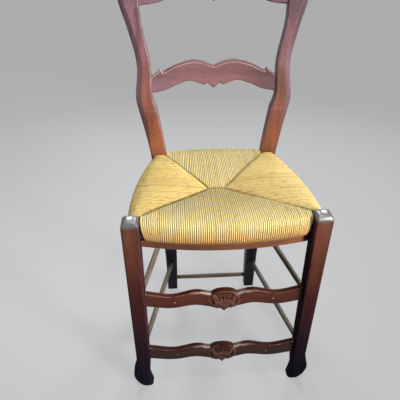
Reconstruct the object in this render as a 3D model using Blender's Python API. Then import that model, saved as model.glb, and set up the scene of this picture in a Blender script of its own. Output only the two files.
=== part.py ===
# Ladderback bar stool with a rush seat, carved front stretchers and serpentine back posts.
# Metres, +Z up. The front of the stool faces -Y, and left and right are as seen from the front.

import math

import bmesh
import bpy
from mathutils import Vector

# Fits between pieces
CLEARANCE = 0.0003          # gap kept all round a tenon, a rung end or a shoulder
MORTISE_WALL = 0.003        # wood left between two mortises that pass each other
RUSH_GAP = 0.0008           # between the rush and the legs that it is wound against

# Front legs
SEAT_HEIGHT = 0.600         # top of the rush over the front rail
LEG_RISE = 0.009            # leg top above the rush
LEG_SPREAD = 0.434          # centre to centre at the top
LEG_SPLAY = 0.0075          # how far each ankle stands outside its top
LEG_SIZE = 0.041            # square section at the top
LEG_EASING = 0.0055         # rounded long edges
LEG_DOME = 0.016            # height and width of the worn, rounded top
ANKLE_SIZE = 0.037
ANKLE_HEIGHT = 0.112
FOOT_KICK = 0.0146          # hoof beyond the ankle on the outer side
INSTEP_HOLLOW = 0.0057      # hollow above the hoof on the inner side
HEEL_SWELL = 0.0056         # hoof beyond the ankle at the back
TOE_DRAW = 0.0035           # front of the hoof drawn in at the floor
HOOF_EASING = 0.0105

# Back posts: each station has a height, a spread between the post centres and a width
SEAT_FALL = 0.020           # the seat line drops this much from the front legs to the posts
SEAT_DEPTH = 0.356          # front leg centre to the face of the post at the seat
POST_FOOT_BACK = 0.019      # the foot stands this much behind the face at the seat
POST_RAKE = 0.0795          # the top stands this much behind the face at the seat
KNEE_CREASE_BACK = 0.0105   # and so does the crease, where the face starts to lean
CALF_HEIGHT = 0.183
KNEE_CREASE_RISE = 0.1325   # seat line to the crease under the knee
KNEE_RISE = 0.0325          # crease to knee
WAIST_RISE = 0.090          # knee to waist
FLARE_RISE = 0.095          # waist to flare
SHOULDER_RISE = 0.055       # flare to shoulder
POST_TOP_RISE = 0.070       # shoulder to top
POST_FOOT_SPREAD = 0.291
CALF_SPREAD = 0.2895
POST_SEAT_SPREAD = 0.332
KNEE_CREASE_SPREAD = 0.3762
KNEE_SPREAD = 0.394
WAIST_SPREAD = 0.3862
FLARE_SPREAD = 0.4253
SHOULDER_SPREAD = 0.4447
POST_TOP_SPREAD = 0.4480
POST_FOOT_WIDTH = 0.035
CALF_WIDTH = 0.040
POST_SEAT_WIDTH = 0.0436
KNEE_CREASE_WIDTH = 0.0512
KNEE_WIDTH = 0.0452
WAIST_WIDTH = 0.0363
FLARE_WIDTH = 0.0385
SHOULDER_WIDTH = 0.0520
POST_TOP_WIDTH = 0.0525
POST_FOOT_DEPTH = 0.034
POST_SEAT_DEPTH = 0.038
POST_TOP_DEPTH = 0.030
POST_EASING = 0.003
POST_CHAMFER_WIDTH = 0.0145  # broad chamfer on the outer front edge
POST_CHAMFER_DEPTH = 0.009
POST_CHAMFER_START = 0.015   # above the seat line, and its run-out
POST_CHAMFER_RUNOUT = 0.075
POST_ROUND = 0.026           # rounded top corner

# Slat and crest rail: edge heights are above the lower corner at the post
BACK_BOW = 0.012            # slat, crest rail and back seat rail bend back in the middle
RAIL_SETBACK = 0.007        # rail face behind the post face
SLAT_RISE = 0.179           # lower corner of the slat above the seat line
SLAT_DEPTH = 0.016
SLAT_CHAMFER = 0.006        # along the upper front edge, between the ears
CREST_RISE = 0.395
CREST_DEPTH = 0.018
SCALLOP_TIP = 0.007         # lower edge: pointed drop, notch, cusp and arch
SCALLOP_NOTCH = 0.021
SCALLOP_CUSP = 0.0153
SCALLOP_ARCH = 0.0275
NOTCH_OUT = 0.0178          # the same points from the middle of the rail
CUSP_OUT = 0.026
ARCH_OUT = 0.070
RAIL_HUMP_OUT = 0.058       # hump of the upper edge from the middle of the rail
EAR_RUN = 0.026             # ear from the post
STEP_RUN = 0.0052           # step from the ear
SLAT_DIP = 0.067            # upper edge: middle dip, hump, step, ear and end
SLAT_HUMP = 0.0813
SLAT_STEP = 0.054
SLAT_EAR = 0.061
SLAT_END = 0.0413
CREST_DIP = 0.088
CREST_HUMP = 0.103
CREST_STEP = 0.074
CREST_EAR = 0.081
CREST_END = 0.062
RAIL_TENON_DEPTH = 0.020
RAIL_TENON_THICK = 0.008
RAIL_TENON_SHOULDER = 0.008  # shoulder above and below the tenon

# Front stretchers: edge heights are above the lower corner at the leg
UPPER_STRETCHER_HEIGHT = 0.3295
LOWER_STRETCHER_HEIGHT = 0.1140
STRETCHER_DEPTH = 0.016
STRETCHER_SETBACK = 0.0135  # face behind the front of the leg
STRETCHER_ROUND = 0.006     # rounded upper front edge
STRETCHER_END = 0.0460      # upper edge: end, hollow, hump, cusp beside the cartouche, crown
STRETCHER_HOLLOW = 0.0317
STRETCHER_HUMP = 0.0456
STRETCHER_CUSP = 0.0355
STRETCHER_CROWN = 0.0480
HOLLOW_OUT = 0.136          # the hollow and the hump from the middle of the stretcher
HUMP_OUT = 0.073
STRETCHER_BELLY = -0.0105   # lower edge: belly, lift, cusp, notch and pendant
STRETCHER_LIFT = -0.0018
PENDANT_CUSP = -0.0147
PENDANT_NOTCH = -0.0118
PENDANT_TIP = -0.0232
BELLY_OUT = 0.138           # the same points from the middle of the stretcher
LIFT_OUT = 0.075
PENDANT_CUSP_OUT = 0.0191
PENDANT_NOTCH_OUT = 0.0138
STRETCHER_TENON_DEPTH = 0.016
STRETCHER_TENON_THICK = 0.007
STRETCHER_TENON_SETBACK = 0.001   # tenon face behind the stretcher face
STRETCHER_TENON_SHOULDER = 0.007

# Carved cartouche in the middle of each stretcher
CARTOUCHE_HALF = 0.034      # half its width
CARTOUCHE_BOSS = 0.0035     # domed field that the leaves stand on
LEAF_COUNT = 7
LEAF_SPREAD = 152.0         # degrees from the first leaf to the last
LEAF_ROOT = -0.008          # where the leaves spring, from the lower corner of the stretcher
LEAF_LENGTH = 0.034         # the upright leaf, and what a level one would have
LEAF_SIDE_LENGTH = 0.027
LEAF_WIDTH = 0.0092
LEAF_RELIEF = 0.0028
LEAF_FULLNESS = 0.6         # 1 is a lens, smaller has blunter ends
HOOD_RADIUS = 0.0405        # plain arched moulding above the leaves, from their root
HOOD_WIDTH = 0.008
HOOD_RELIEF = 0.0024

# Small domed pins in the faces of the stretchers
PIN_RADIUS = 0.0022
PIN_LENGTH = 0.010
PIN_PROUD = 0.0012
PIN_FROM_MIDDLE = 0.127
PIN_ABOVE_EDGE = 0.0225

# Turned rungs
RUNG_RADIUS = 0.0066
RUNG_END_RADIUS = 0.0054
RUNG_TENON_DEPTH = 0.018
UPPER_RUNG_HEIGHT = 0.331
LOWER_RUNG_HEIGHT = 0.137
BACK_RUNG_HEIGHT = 0.046

# Seat frame and apron
SEAT_RAIL_THICK = 0.020
SEAT_RAIL_HEIGHT = 0.047
SEAT_RAIL_EASING = 0.007
SEAT_TENON_DEPTH = 0.018
SEAT_TENON_THICK = 0.009
SEAT_TENON_SHOULDER = 0.005
FRONT_RAIL_BACK = 0.011     # front rail ends behind the leg centres
FRONT_BOW = 0.024
SIDE_BOW = 0.015
SIDE_RAIL_INSET = 0.006     # side rail inside the leg centre
APRON_HEIGHT = 0.019
APRON_THICK = 0.012
APRON_EASING = 0.003
APRON_TENON_DEPTH = 0.010
APRON_TENON_SHOULDER = 0.003

# Rush
RUSH_THICK = 0.0065         # one layer of twisted rush
SEAT_DISH = 0.012           # middle of the seat below its rim
SEAT_CORE = 0.024           # thickness in the middle
PANEL_CROWN = 0.004         # each panel swells this much between its seams
WEAVE_MIDDLE = 0.165        # centre of the weave behind the leg centres
WEAVE_OFFSET = -0.010       # and to the left, as the weaver left it
WEAVE_BRIDGE = 0.040        # length of the short middle seam
PANEL_FULLNESS = 0.6        # 1 swells to the middle, smaller swells wider
ROLL_SQUARENESS = 0.7       # 1 is round, smaller is squarer
STUFFING_START = 0.045      # packing from the short middle seam
STUFFING_CORNER = 0.050     # and from the corners of the frame, along the rail

# Facets, and the stations of the curved pieces
CORNER_STEPS = 3
RAIL_CORNER_STEPS = 2
RUNG_SIDES = 12
PIN_SIDES = 8
FRONT_RAIL_FACETS = 8
SIDE_RAIL_FACETS = 6
BACK_RAIL_FACETS = 6
APRON_FACETS = 14
POST_FACETS_BELOW = 7       # below the seat line, from it to the crease, and above
POST_FACETS_KNEE = 8
POST_FACETS_ABOVE = 20
POST_ROUND_ANGLES = (20, 40, 58, 74, 86)
FOOT_ROWS = (0.0, 0.05, 0.11, 0.18, 0.26, 0.35, 0.45, 0.56, 0.68, 0.84)
SHAFT_ROWS = (0.0, 0.08, 0.3, 0.55, 0.8, 1.0)
DOME_ANGLES = (22, 44, 64, 82)
LADDER_STEP = 0.0063        # longest facet along the slat and the crest rail
CARVED_FACETS = 18          # half the cartouche, and its rows
CARVED_ROWS = 13
PLAIN_FACETS = 12           # from the cartouche to the leg
SEAT_TOP_ROWS = (0.06, 0.25, 0.5, 0.72, 0.9)
SEAT_ROLL_ANGLES = (80, 48, 12, -30, -75)
SEAT_UNDER_ROWS = (0.85, 0.4, 0.06)
STUFFING_FACETS = 4
NOTCH_FACETS = 6            # along the post notches of the seat
ARC_MIDDLE = 0.293          # how far the middle of a rounded corner lies inside it, in radii
ARRIS_SOFT = 0.1            # how far each edge of the post's chamfer is rounded, in chamfers
CREASE_SOFT = 0.002         # how far the crease is rounded, above and below it
FLAT_ANGLE = 0.05           # degrees; faces flatter than this to each other become one
SHARP_ANGLE = 35.0          # degrees; edges sharper than this stay sharp


def clear_scene():
    for item in list(bpy.data.objects):
        bpy.data.objects.remove(item)


def make_material(name, colour, roughness):
    finish = bpy.data.materials.new(name)
    finish.use_nodes = True
    shader = finish.node_tree.nodes["Principled BSDF"]
    shader.inputs["Base Color"].default_value = (*colour, 1.0)
    shader.inputs["Roughness"].default_value = roughness
    shader.inputs["Metallic"].default_value = 0.0
    return finish


def smooth_through(points):
    # A smooth curve through (position, value) points, given in rising order of position
    last = len(points) - 1
    slopes = []
    for i in range(last + 1):
        before = points[max(i - 1, 0)]
        after = points[min(i + 1, last)]
        slopes.append((after[1] - before[1]) / (after[0] - before[0]))

    def value(at):
        i = 0
        while i < last - 1 and at > points[i + 1][0]:
            i += 1
        start, start_value = points[i]
        end, end_value = points[i + 1]
        span = end - start
        t = (at - start) / span
        ease = t * t * (3.0 - 2.0 * t)
        leave = t * (1.0 - t) * (1.0 - t) * span * slopes[i]
        arrive = t * t * (t - 1.0) * span * slopes[i + 1]
        return start_value + (end_value - start_value) * ease + leave + arrive

    return value


def cornered_through(runs):
    # An edge made of smooth runs that meet at sharp corners
    curves = [(run[-1][0], smooth_through(run)) for run in runs]

    def value(at):
        for end, curve in curves:
            if at <= end:
                return curve(at)
        return curves[-1][1](at)

    return value


def clamp(value, low, high):
    return max(low, min(high, value))


def between(start, end, share):
    return start + (end - start) * share


def loft(name, rings, finish=None, merge_flats=True):
    # Closed solid through rings of equal point count, with flat ends; points of a ring may coincide
    mesh = bpy.data.meshes.new(name)
    form = bmesh.new()
    loops = []
    for ring in rings:
        places = [tuple(point) for point in ring]
        corners = {place: form.verts.new(place) for place in dict.fromkeys(places)}
        loops.append([corners[place] for place in places])
    count = len(loops[0])
    for lower, upper in zip(loops, loops[1:]):
        for i in range(count):
            j = (i + 1) % count
            for corners in ((lower[i], lower[j], upper[j]), (lower[i], upper[j], upper[i])):
                if len(set(corners)) == 3:
                    form.faces.new(corners)
    for loop in (loops[0][::-1], loops[-1]):
        rim = list(dict.fromkeys(loop))
        middle = form.verts.new(sum((corner.co for corner in rim), Vector()) / len(rim))
        for i, corner in enumerate(rim):
            form.faces.new((rim[i - 1], corner, middle))
    bmesh.ops.recalc_face_normals(form, faces=form.faces)
    if merge_flats:
        bmesh.ops.dissolve_limit(form, angle_limit=math.radians(FLAT_ANGLE),
                                 verts=form.verts, edges=form.edges)
    form.to_mesh(mesh)
    form.free()
    mesh.shade_smooth()
    mesh.set_sharp_from_angle(angle=math.radians(SHARP_ANGLE))
    item = bpy.data.objects.new(name, mesh)
    bpy.context.scene.collection.objects.link(item)
    if finish:
        mesh.materials.append(finish)
    return item


def hide_tool(item):
    item.hide_render = True
    item.display_type = "WIRE"
    return item


def cut(item, tool):
    step = item.modifiers.new(tool.name, "BOOLEAN")
    step.operation = "DIFFERENCE"
    step.solver = "EXACT"
    step.object = hide_tool(tool)


def join(name, items):
    # One piece from several closed ones that stand apart
    form = bmesh.new()
    for item in items:
        form.from_mesh(item.data)
        bpy.data.objects.remove(item)
    mesh = bpy.data.meshes.new(name)
    form.to_mesh(mesh)
    form.free()
    piece = bpy.data.objects.new(name, mesh)
    bpy.context.scene.collection.objects.link(piece)
    return piece


def rounded_outline(x0, x1, y0, y1, radius, steps=CORNER_STEPS):
    # Rounded rectangle as flat (x, y) points
    r = clamp(radius, 0.0002, 0.48 * min(x1 - x0, y1 - y0))
    centres = ((x1 - r, y1 - r), (x0 + r, y1 - r), (x0 + r, y0 + r), (x1 - r, y0 + r))
    points = []
    for quarter, (cx, cy) in enumerate(centres):
        for step in range(steps + 1):
            angle = math.radians(90.0 * (quarter + step / steps))
            points.append((cx + r * math.cos(angle), cy + r * math.sin(angle)))
    return points


def upright(z):
    return 0.0


def block(name, low, high, lean):
    # Box between two corners, whose y leans with height
    rings = []
    for x in (low[0], high[0]):
        corners = ((low[1], low[2]), (high[1], low[2]), (high[1], high[2]), (low[1], high[2]))
        rings.append([(x, y + lean(z), z) for y, z in corners])
    return loft(name, rings)


def tenon(name, ring, carrier, axis, way, shoulder, depth, across, heights, lean=upright):
    # Draws the end ring of a rail in onto its tenon, on the shoulder and at the tip, and cuts the
    # mortise for it from the carrier. The tenon runs along axis 0 or 1, in the direction of way.
    middle = shoulder(0.5 * sum(heights))
    tip = middle + way * depth
    root_ring = []
    tip_ring = []
    for point in ring:
        z = clamp(point[2], *heights)
        aside = clamp(point[1 - axis] - lean(point[2]), *across) + lean(z)
        for drawn, reach in ((root_ring, shoulder(z)), (tip_ring, tip)):
            drawn.append((reach, aside, z) if axis == 0 else (aside, reach, z))
    spans = [None, None, heights]
    spans[axis] = sorted((middle - way * depth, tip))
    spans[1 - axis] = across
    low = [span[0] - CLEARANCE for span in spans]
    high = [span[1] + CLEARANCE for span in spans]
    cut(carrier, block(name + "_mortise", low, high, lean))
    return root_ring, tip_ring


def tenon_pair(name, rings, carriers, inner, depth, across, heights, lean=upright):
    # Rings of a rail along x, with a tenon added at each end; inner gives the carrier's inner face
    ends = {}
    for side, ring in ((-1, rings[0]), (1, rings[-1])):
        ends[side] = tenon(name + "_" + side_name(side), ring, carriers[side], 0, side,
                           lambda z: side * (inner(z) - CLEARANCE), depth, across, heights, lean)
    return [ends[-1][1], ends[-1][0]] + rings + [ends[1][0], ends[1][1]]


def turned(name, start, end, profile, finish=None, sides=RUNG_SIDES):
    # Solid of revolution from start to end, with (share of length, radius) points
    axis = (end - start).normalized()
    across = axis.orthogonal().normalized()
    up = axis.cross(across)
    rings = []
    for share, radius in profile:
        centre = start.lerp(end, share)
        ring = []
        for k in range(sides):
            angle = 2.0 * math.pi * k / sides
            ring.append(centre + radius * (math.cos(angle) * across + math.sin(angle) * up))
        rings.append(ring)
    return loft(name, rings, finish)


def mirror(ring, side):
    return [(side * x, y, z) for x, y, z in ring]


def side_name(side):
    return "left" if side < 0 else "right"


# Front leg lines

LEG_TOP = SEAT_HEIGHT + LEG_RISE


def leg_share(z):
    return clamp((LEG_TOP - z) / (LEG_TOP - ANKLE_HEIGHT), 0.0, 1.0)


def leg_centre(z):
    return 0.5 * LEG_SPREAD + LEG_SPLAY * leg_share(z)


def leg_half(z):
    return 0.5 * (LEG_SIZE + (ANKLE_SIZE - LEG_SIZE) * leg_share(z))


def leg_inner(z):
    return leg_centre(z) - leg_half(z)


# Back post lines

SEAT_LINE = SEAT_HEIGHT - SEAT_FALL
KNEE_CREASE = SEAT_LINE + KNEE_CREASE_RISE
KNEE = KNEE_CREASE + KNEE_RISE
WAIST = KNEE + WAIST_RISE
FLARE = WAIST + FLARE_RISE
SHOULDER = FLARE + SHOULDER_RISE
POST_TOP = SHOULDER + POST_TOP_RISE
LOW_HEIGHTS = (0.0, CALF_HEIGHT, SEAT_LINE, KNEE_CREASE)
LOW_SPREADS = (POST_FOOT_SPREAD, CALF_SPREAD, POST_SEAT_SPREAD, KNEE_CREASE_SPREAD)
LOW_WIDTHS = (POST_FOOT_WIDTH, CALF_WIDTH, POST_SEAT_WIDTH, KNEE_CREASE_WIDTH)
HIGH_HEIGHTS = (KNEE_CREASE, KNEE, WAIST, FLARE, SHOULDER, POST_TOP)
HIGH_SPREADS = (KNEE_CREASE_SPREAD, KNEE_SPREAD, WAIST_SPREAD, FLARE_SPREAD, SHOULDER_SPREAD,
                POST_TOP_SPREAD)
HIGH_WIDTHS = (KNEE_CREASE_WIDTH, KNEE_WIDTH, WAIST_WIDTH, FLARE_WIDTH, SHOULDER_WIDTH, POST_TOP_WIDTH)
CREASE_FACE = SEAT_DEPTH + KNEE_CREASE_BACK

post_spread = cornered_through([list(zip(LOW_HEIGHTS, LOW_SPREADS)),
                                list(zip(HIGH_HEIGHTS, HIGH_SPREADS))])
post_width = cornered_through([list(zip(LOW_HEIGHTS, LOW_WIDTHS)), list(zip(HIGH_HEIGHTS, HIGH_WIDTHS))])
post_face = cornered_through([
    [(0.0, SEAT_DEPTH + POST_FOOT_BACK), (SEAT_LINE, SEAT_DEPTH), (KNEE_CREASE, CREASE_FACE)],
    [(KNEE_CREASE, CREASE_FACE), (POST_TOP, SEAT_DEPTH + POST_RAKE)]])
post_depth = smooth_through([(0.0, POST_FOOT_DEPTH), (SEAT_LINE, POST_SEAT_DEPTH),
                             (POST_TOP, POST_TOP_DEPTH)])


def post_centre(z):
    return 0.5 * post_spread(z)


def post_inner(z):
    return post_centre(z) - 0.5 * post_width(z)


def post_outer(z):
    return post_centre(z) + 0.5 * post_width(z)


# Seat frame lines

RAIL_TOP = SEAT_HEIGHT - RUSH_THICK
BACK_LINE = SEAT_DEPTH + 0.5 * POST_SEAT_DEPTH
ROLL_WIDTH = RUSH_THICK + 0.5 * SEAT_RAIL_THICK
ROLL_HEIGHT = SEAT_RAIL_HEIGHT + 2.0 * RUSH_THICK


def seat_drop(y):
    return SEAT_FALL * clamp(y / BACK_LINE, 0.0, 1.0)


def front_line(x):
    share = x / leg_inner(RAIL_TOP)
    return FRONT_RAIL_BACK - FRONT_BOW * (1.0 - share * share)


def side_line(y):
    start = leg_half(RAIL_TOP)
    t = (y - start) / (SEAT_DEPTH - start)
    first = leg_centre(RAIL_TOP) - SIDE_RAIL_INSET
    last = post_centre(SEAT_LINE)
    return first + (last - first) * t + SIDE_BOW * 4.0 * t * (1.0 - t)


def back_line(x):
    share = clamp(x / post_inner(SEAT_LINE), -1.0, 1.0)
    return BACK_LINE + BACK_BOW * (1.0 - share * share)


def add_front_leg(side, finish):
    inward = smooth_through([(0.0, 0.58), (0.15, -0.39), (0.36, -1.0), (0.72, -0.22), (1.0, 0.0)])
    outward = smooth_through([(0.0, -0.33), (0.15, 0.5), (0.42, 1.0), (0.72, 0.5), (1.0, 0.0)])
    backward = smooth_through([(0.0, 0.3), (0.2, 1.0), (0.6, 1.0), (1.0, 0.0)])
    rings = []
    for share in FOOT_ROWS:
        z = share * ANKLE_HEIGHT
        half = 0.5 * ANKLE_SIZE
        middle = leg_centre(z)
        outline = rounded_outline(
            middle - half - INSTEP_HOLLOW * inward(share),
            middle + half + FOOT_KICK * outward(share),
            TOE_DRAW * (1.0 - share) - half,
            half + HEEL_SWELL * backward(share),
            between(HOOF_EASING, LEG_EASING, share))
        rings.append([(x, y, z) for x, y in outline])
    shaft = [(between(ANKLE_HEIGHT, LEG_TOP - LEG_DOME, share), 0.0) for share in SHAFT_ROWS]
    dome = []
    for degrees in DOME_ANGLES:
        turn = math.radians(degrees)
        dome.append((LEG_TOP - LEG_DOME * (1.0 - math.sin(turn)), LEG_DOME * (1.0 - math.cos(turn))))
    for z, drawn in shaft + dome:
        half = leg_half(z) - drawn
        middle = leg_centre(z)
        outline = rounded_outline(middle - half, middle + half, -half, half, LEG_EASING)
        rings.append([(x, y, z) for x, y in outline])
    return loft("front_leg_" + side_name(side), [mirror(ring, side) for ring in rings], finish)


def post_ring(z, grow=0.0, chamfer=0.0, trim=0.0):
    # Post section at one height: easing on three edges, a chamfer on the outer front edge
    x0 = post_inner(z) - grow
    x1 = post_outer(z) + grow - trim
    y0 = post_face(z) - grow
    y1 = post_face(z) + post_depth(z) + grow
    ease = POST_EASING
    nick = ARC_MIDDLE * ease
    wide = max(ease, POST_CHAMFER_WIDTH * chamfer)
    deep = max(ease, POST_CHAMFER_DEPTH * chamfer)
    soft = ARRIS_SOFT
    points = [(x0, y0 + ease), (x0 + nick, y0 + nick), (x0 + ease, y0),
              (x1 - (1.0 + soft) * wide, y0), (x1 - (1.0 - soft) * wide, y0 + soft * deep),
              (x1 - soft * wide, y0 + (1.0 - soft) * deep), (x1, y0 + (1.0 + soft) * deep),
              (x1, y1 - ease), (x1 - nick, y1 - nick), (x1 - ease, y1),
              (x0 + ease, y1), (x0 + nick, y1 - nick), (x0, y1 - ease)]
    return [(x, y, z) for x, y in points]


def add_back_post(side, finish):
    crease = (KNEE_CREASE - CREASE_SOFT, KNEE_CREASE + CREASE_SOFT)
    heights = []
    for start, end, count in ((0.0, SEAT_LINE, POST_FACETS_BELOW),
                              (SEAT_LINE, crease[0], POST_FACETS_KNEE), (*crease, 2),
                              (crease[1], POST_TOP - POST_ROUND, POST_FACETS_ABOVE)):
        heights += [between(start, end, k / count) for k in range(count)]
    heights.append(POST_TOP - POST_ROUND)
    rings = []
    for z in heights:
        rise = (z - SEAT_LINE - POST_CHAMFER_START) / POST_CHAMFER_RUNOUT
        rings.append(post_ring(z, chamfer=clamp(rise, 0.0, 1.0)))
    for degrees in POST_ROUND_ANGLES:
        turn = math.radians(degrees)
        z = POST_TOP - POST_ROUND * (1.0 - math.sin(turn))
        rings.append(post_ring(z, chamfer=1.0, trim=POST_ROUND * (1.0 - math.cos(turn))))
    return loft("back_post_" + side_name(side), [mirror(ring, side) for ring in rings], finish)


def spread_stations(corners, step):
    # Places from end to end of a rail that include every corner on both sides of its middle
    places = []
    for start, end in zip(corners, corners[1:]):
        count = max(1, math.ceil((end - start) / step))
        places += [between(start, end, k / count) for k in range(count)]
    places.append(corners[-1])
    return [-place for place in places[:0:-1]] + places


def ladder_edges(half, dip, hump, step, ear, end):
    # Lower and upper edge of a back rail, as heights above its lower corner along its half length
    lower = cornered_through([
        [(0.0, SCALLOP_TIP), (NOTCH_OUT, SCALLOP_NOTCH)],
        [(NOTCH_OUT, SCALLOP_NOTCH), (CUSP_OUT, SCALLOP_CUSP)],
        [(CUSP_OUT, SCALLOP_CUSP), (between(CUSP_OUT, ARCH_OUT, 0.4), 0.78 * SCALLOP_ARCH),
         (ARCH_OUT, SCALLOP_ARCH), (between(ARCH_OUT, half, 0.37), 0.60 * SCALLOP_ARCH),
         (between(ARCH_OUT, half, 0.63), 0.20 * SCALLOP_ARCH), (half, 0.0)]])
    step_out = half - EAR_RUN - STEP_RUN
    upper = cornered_through([
        [(0.0, dip), (0.42 * RAIL_HUMP_OUT, between(dip, hump, 0.62)), (RAIL_HUMP_OUT, hump),
         (between(RAIL_HUMP_OUT, step_out, 0.52), between(step, hump, 0.67)), (step_out, step)],
        [(step_out, step), (half - EAR_RUN, ear)],
        [(half - EAR_RUN, ear), (half, end)]])
    return lower, upper


def add_ladder_rail(name, bottom, depth, upper_sizes, posts, finish):
    end_height = upper_sizes[-1]
    half = post_inner(bottom + 0.5 * end_height) - CLEARANCE
    lower, upper = ladder_edges(half, *upper_sizes)
    ear_out = half - EAR_RUN
    step_out = ear_out - STEP_RUN
    ease = POST_EASING
    rings = []
    for x in spread_stations([0.0, NOTCH_OUT, CUSP_OUT, step_out, ear_out, half], LADDER_STEP):
        share = x / half
        between_ears = clamp((ear_out - abs(x)) / (2.0 * STEP_RUN), 0.0, 1.0)
        bevel = between(ease, SLAT_CHAMFER, between_ears)
        z0 = bottom + lower(abs(x))
        z1 = bottom + upper(abs(x))
        bend = RAIL_SETBACK + BACK_BOW * (1.0 - share * share)
        section = ((bend + ease, z0), (bend, z0 + ease), (bend, z1 - bevel), (bend + bevel, z1),
                   (bend + depth - ease, z1), (bend + depth, z1 - ease),
                   (bend + depth, z0 + ease), (bend + depth - ease, z0))
        ring = []
        for back, z in section:
            ring.append((share * (post_inner(z) - CLEARANCE), post_face(z) + back, z))
        rings.append(ring)
    front = RAIL_SETBACK + 0.5 * (depth - RAIL_TENON_THICK)
    heights = (bottom + RAIL_TENON_SHOULDER, bottom + end_height - RAIL_TENON_SHOULDER)
    loft(name, tenon_pair(name, rings, posts, post_inner, RAIL_TENON_DEPTH,
                          (front, front + RAIL_TENON_THICK), heights, post_face), finish)


def stretcher_half(bottom):
    return leg_inner(bottom + 0.5 * STRETCHER_END) - CLEARANCE


def stretcher_edges(half):
    # Lower and upper edge, as heights above the lower corner along half the length
    lower = cornered_through([
        [(0.0, PENDANT_TIP), (PENDANT_NOTCH_OUT, PENDANT_NOTCH)],
        [(PENDANT_NOTCH_OUT, PENDANT_NOTCH), (PENDANT_CUSP_OUT, PENDANT_CUSP)],
        [(PENDANT_CUSP_OUT, PENDANT_CUSP),
         (between(PENDANT_CUSP_OUT, LIFT_OUT, 0.36), between(STRETCHER_LIFT, PENDANT_CUSP, 0.61)),
         (LIFT_OUT, STRETCHER_LIFT), (BELLY_OUT, STRETCHER_BELLY), (half, 0.0)]])
    upper = cornered_through([
        [(0.0, STRETCHER_CROWN),
         (0.58 * CARTOUCHE_HALF, between(STRETCHER_CUSP, STRETCHER_CROWN, 0.75)),
         (CARTOUCHE_HALF, STRETCHER_CUSP)],
        [(CARTOUCHE_HALF, STRETCHER_CUSP),
         (between(CARTOUCHE_HALF, HUMP_OUT, 0.4), between(STRETCHER_CUSP, STRETCHER_HUMP, 0.45)),
         (HUMP_OUT, STRETCHER_HUMP), (HOLLOW_OUT, STRETCHER_HOLLOW), (half, STRETCHER_END)]])
    return lower, upper


def carving(x, rise):
    # Relief of the cartouche at a height above the stretcher's lower corner:
    # a domed boss, leaves fanned up from the pendant and an arched hood
    reach = abs(x) / CARTOUCHE_HALF
    if reach >= 1.0:
        return 0.0
    boss = CARTOUCHE_BOSS * math.sqrt(1.0 - reach * reach)
    up = rise - LEAF_ROOT
    leaf = 0.0
    for k in range(LEAF_COUNT):
        turn = math.radians(LEAF_SPREAD * (k / (LEAF_COUNT - 1) - 0.5))
        along = x * math.sin(turn) + up * math.cos(turn)
        aside = x * math.cos(turn) - up * math.sin(turn)
        length = between(LEAF_SIDE_LENGTH, LEAF_LENGTH, math.cos(turn))
        if 0.0 < along < length:
            wide = 0.5 * LEAF_WIDTH * math.sin(math.pi * along / length) ** LEAF_FULLNESS
            if abs(aside) < wide:
                leaf = max(leaf, LEAF_RELIEF * math.sqrt(1.0 - (aside / wide) ** 2))
    hood = 0.0
    off = 2.0 * abs(math.hypot(x, up) - HOOD_RADIUS) / HOOD_WIDTH
    if up > 0.0 and off < 1.0:
        hood = HOOD_RELIEF * math.sqrt(1.0 - off * off)
    return boss + max(leaf, hood)


def add_stretcher(name, bottom, legs, finish):
    half = stretcher_half(bottom)
    lower, upper = stretcher_edges(half)
    face = STRETCHER_SETBACK - leg_half(bottom)
    back = face + STRETCHER_DEPTH
    ease = POST_EASING
    nick = ARC_MIDDLE * STRETCHER_ROUND
    places = [CARTOUCHE_HALF * k / CARVED_FACETS for k in range(CARVED_FACETS)]
    places += [between(CARTOUCHE_HALF, half, k / PLAIN_FACETS) for k in range(PLAIN_FACETS + 1)]
    rings = []
    for x in [-place for place in places[:0:-1]] + places:
        z0 = lower(abs(x))
        z1 = upper(abs(x))
        ring = [(face + ease, z0)]
        for k in range(CARVED_ROWS):
            z = between(z0 + ease, z1 - STRETCHER_ROUND, k / (CARVED_ROWS - 1))
            ring.append((face - carving(x, z), z))
        proud = carving(x, z1 - STRETCHER_ROUND)
        ring.append((face - proud + nick, z1 - nick))
        ring.append((face - 0.5 * proud + STRETCHER_ROUND, z1))
        ring += [(back - ease, z1), (back, z1 - ease), (back, z0 + ease), (back - ease, z0)]
        rings.append([(x / half * (leg_inner(bottom + z) - CLEARANCE), y, bottom + z) for y, z in ring])
    front = face + STRETCHER_TENON_SETBACK
    heights = (bottom + STRETCHER_TENON_SHOULDER, bottom + STRETCHER_END - STRETCHER_TENON_SHOULDER)
    rings = tenon_pair(name, rings, legs, leg_inner, STRETCHER_TENON_DEPTH,
                       (front, front + STRETCHER_TENON_THICK), heights)
    return loft(name, rings, finish, merge_flats=False)


def add_pins(name, stretcher, bottom, finish):
    lower, _ = stretcher_edges(stretcher_half(bottom))
    face = STRETCHER_SETBACK - leg_half(bottom)
    z = bottom + lower(PIN_FROM_MIDDLE) + PIN_ABOVE_EDGE
    dome = PIN_PROUD / PIN_LENGTH
    profile = [(0.0, 0.45 * PIN_RADIUS), (0.4 * dome, 0.85 * PIN_RADIUS), (dome, PIN_RADIUS),
               (1.0, PIN_RADIUS)]
    bore = PIN_RADIUS + CLEARANCE
    straight = [(0.0, bore), (1.0 + CLEARANCE / PIN_LENGTH, bore)]
    bores = []
    for side in (-1, 1):
        word = side_name(side)
        head = Vector((side * PIN_FROM_MIDDLE, face - PIN_PROUD, z))
        tail = head + Vector((0.0, PIN_LENGTH, 0.0))
        turned(name + "_" + word, head, tail, profile, finish, PIN_SIDES)
        bores.append(turned(name + "_bore_" + word, head, tail, straight, sides=PIN_SIDES))
    cut(stretcher, join(name + "_bores", bores))


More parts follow.
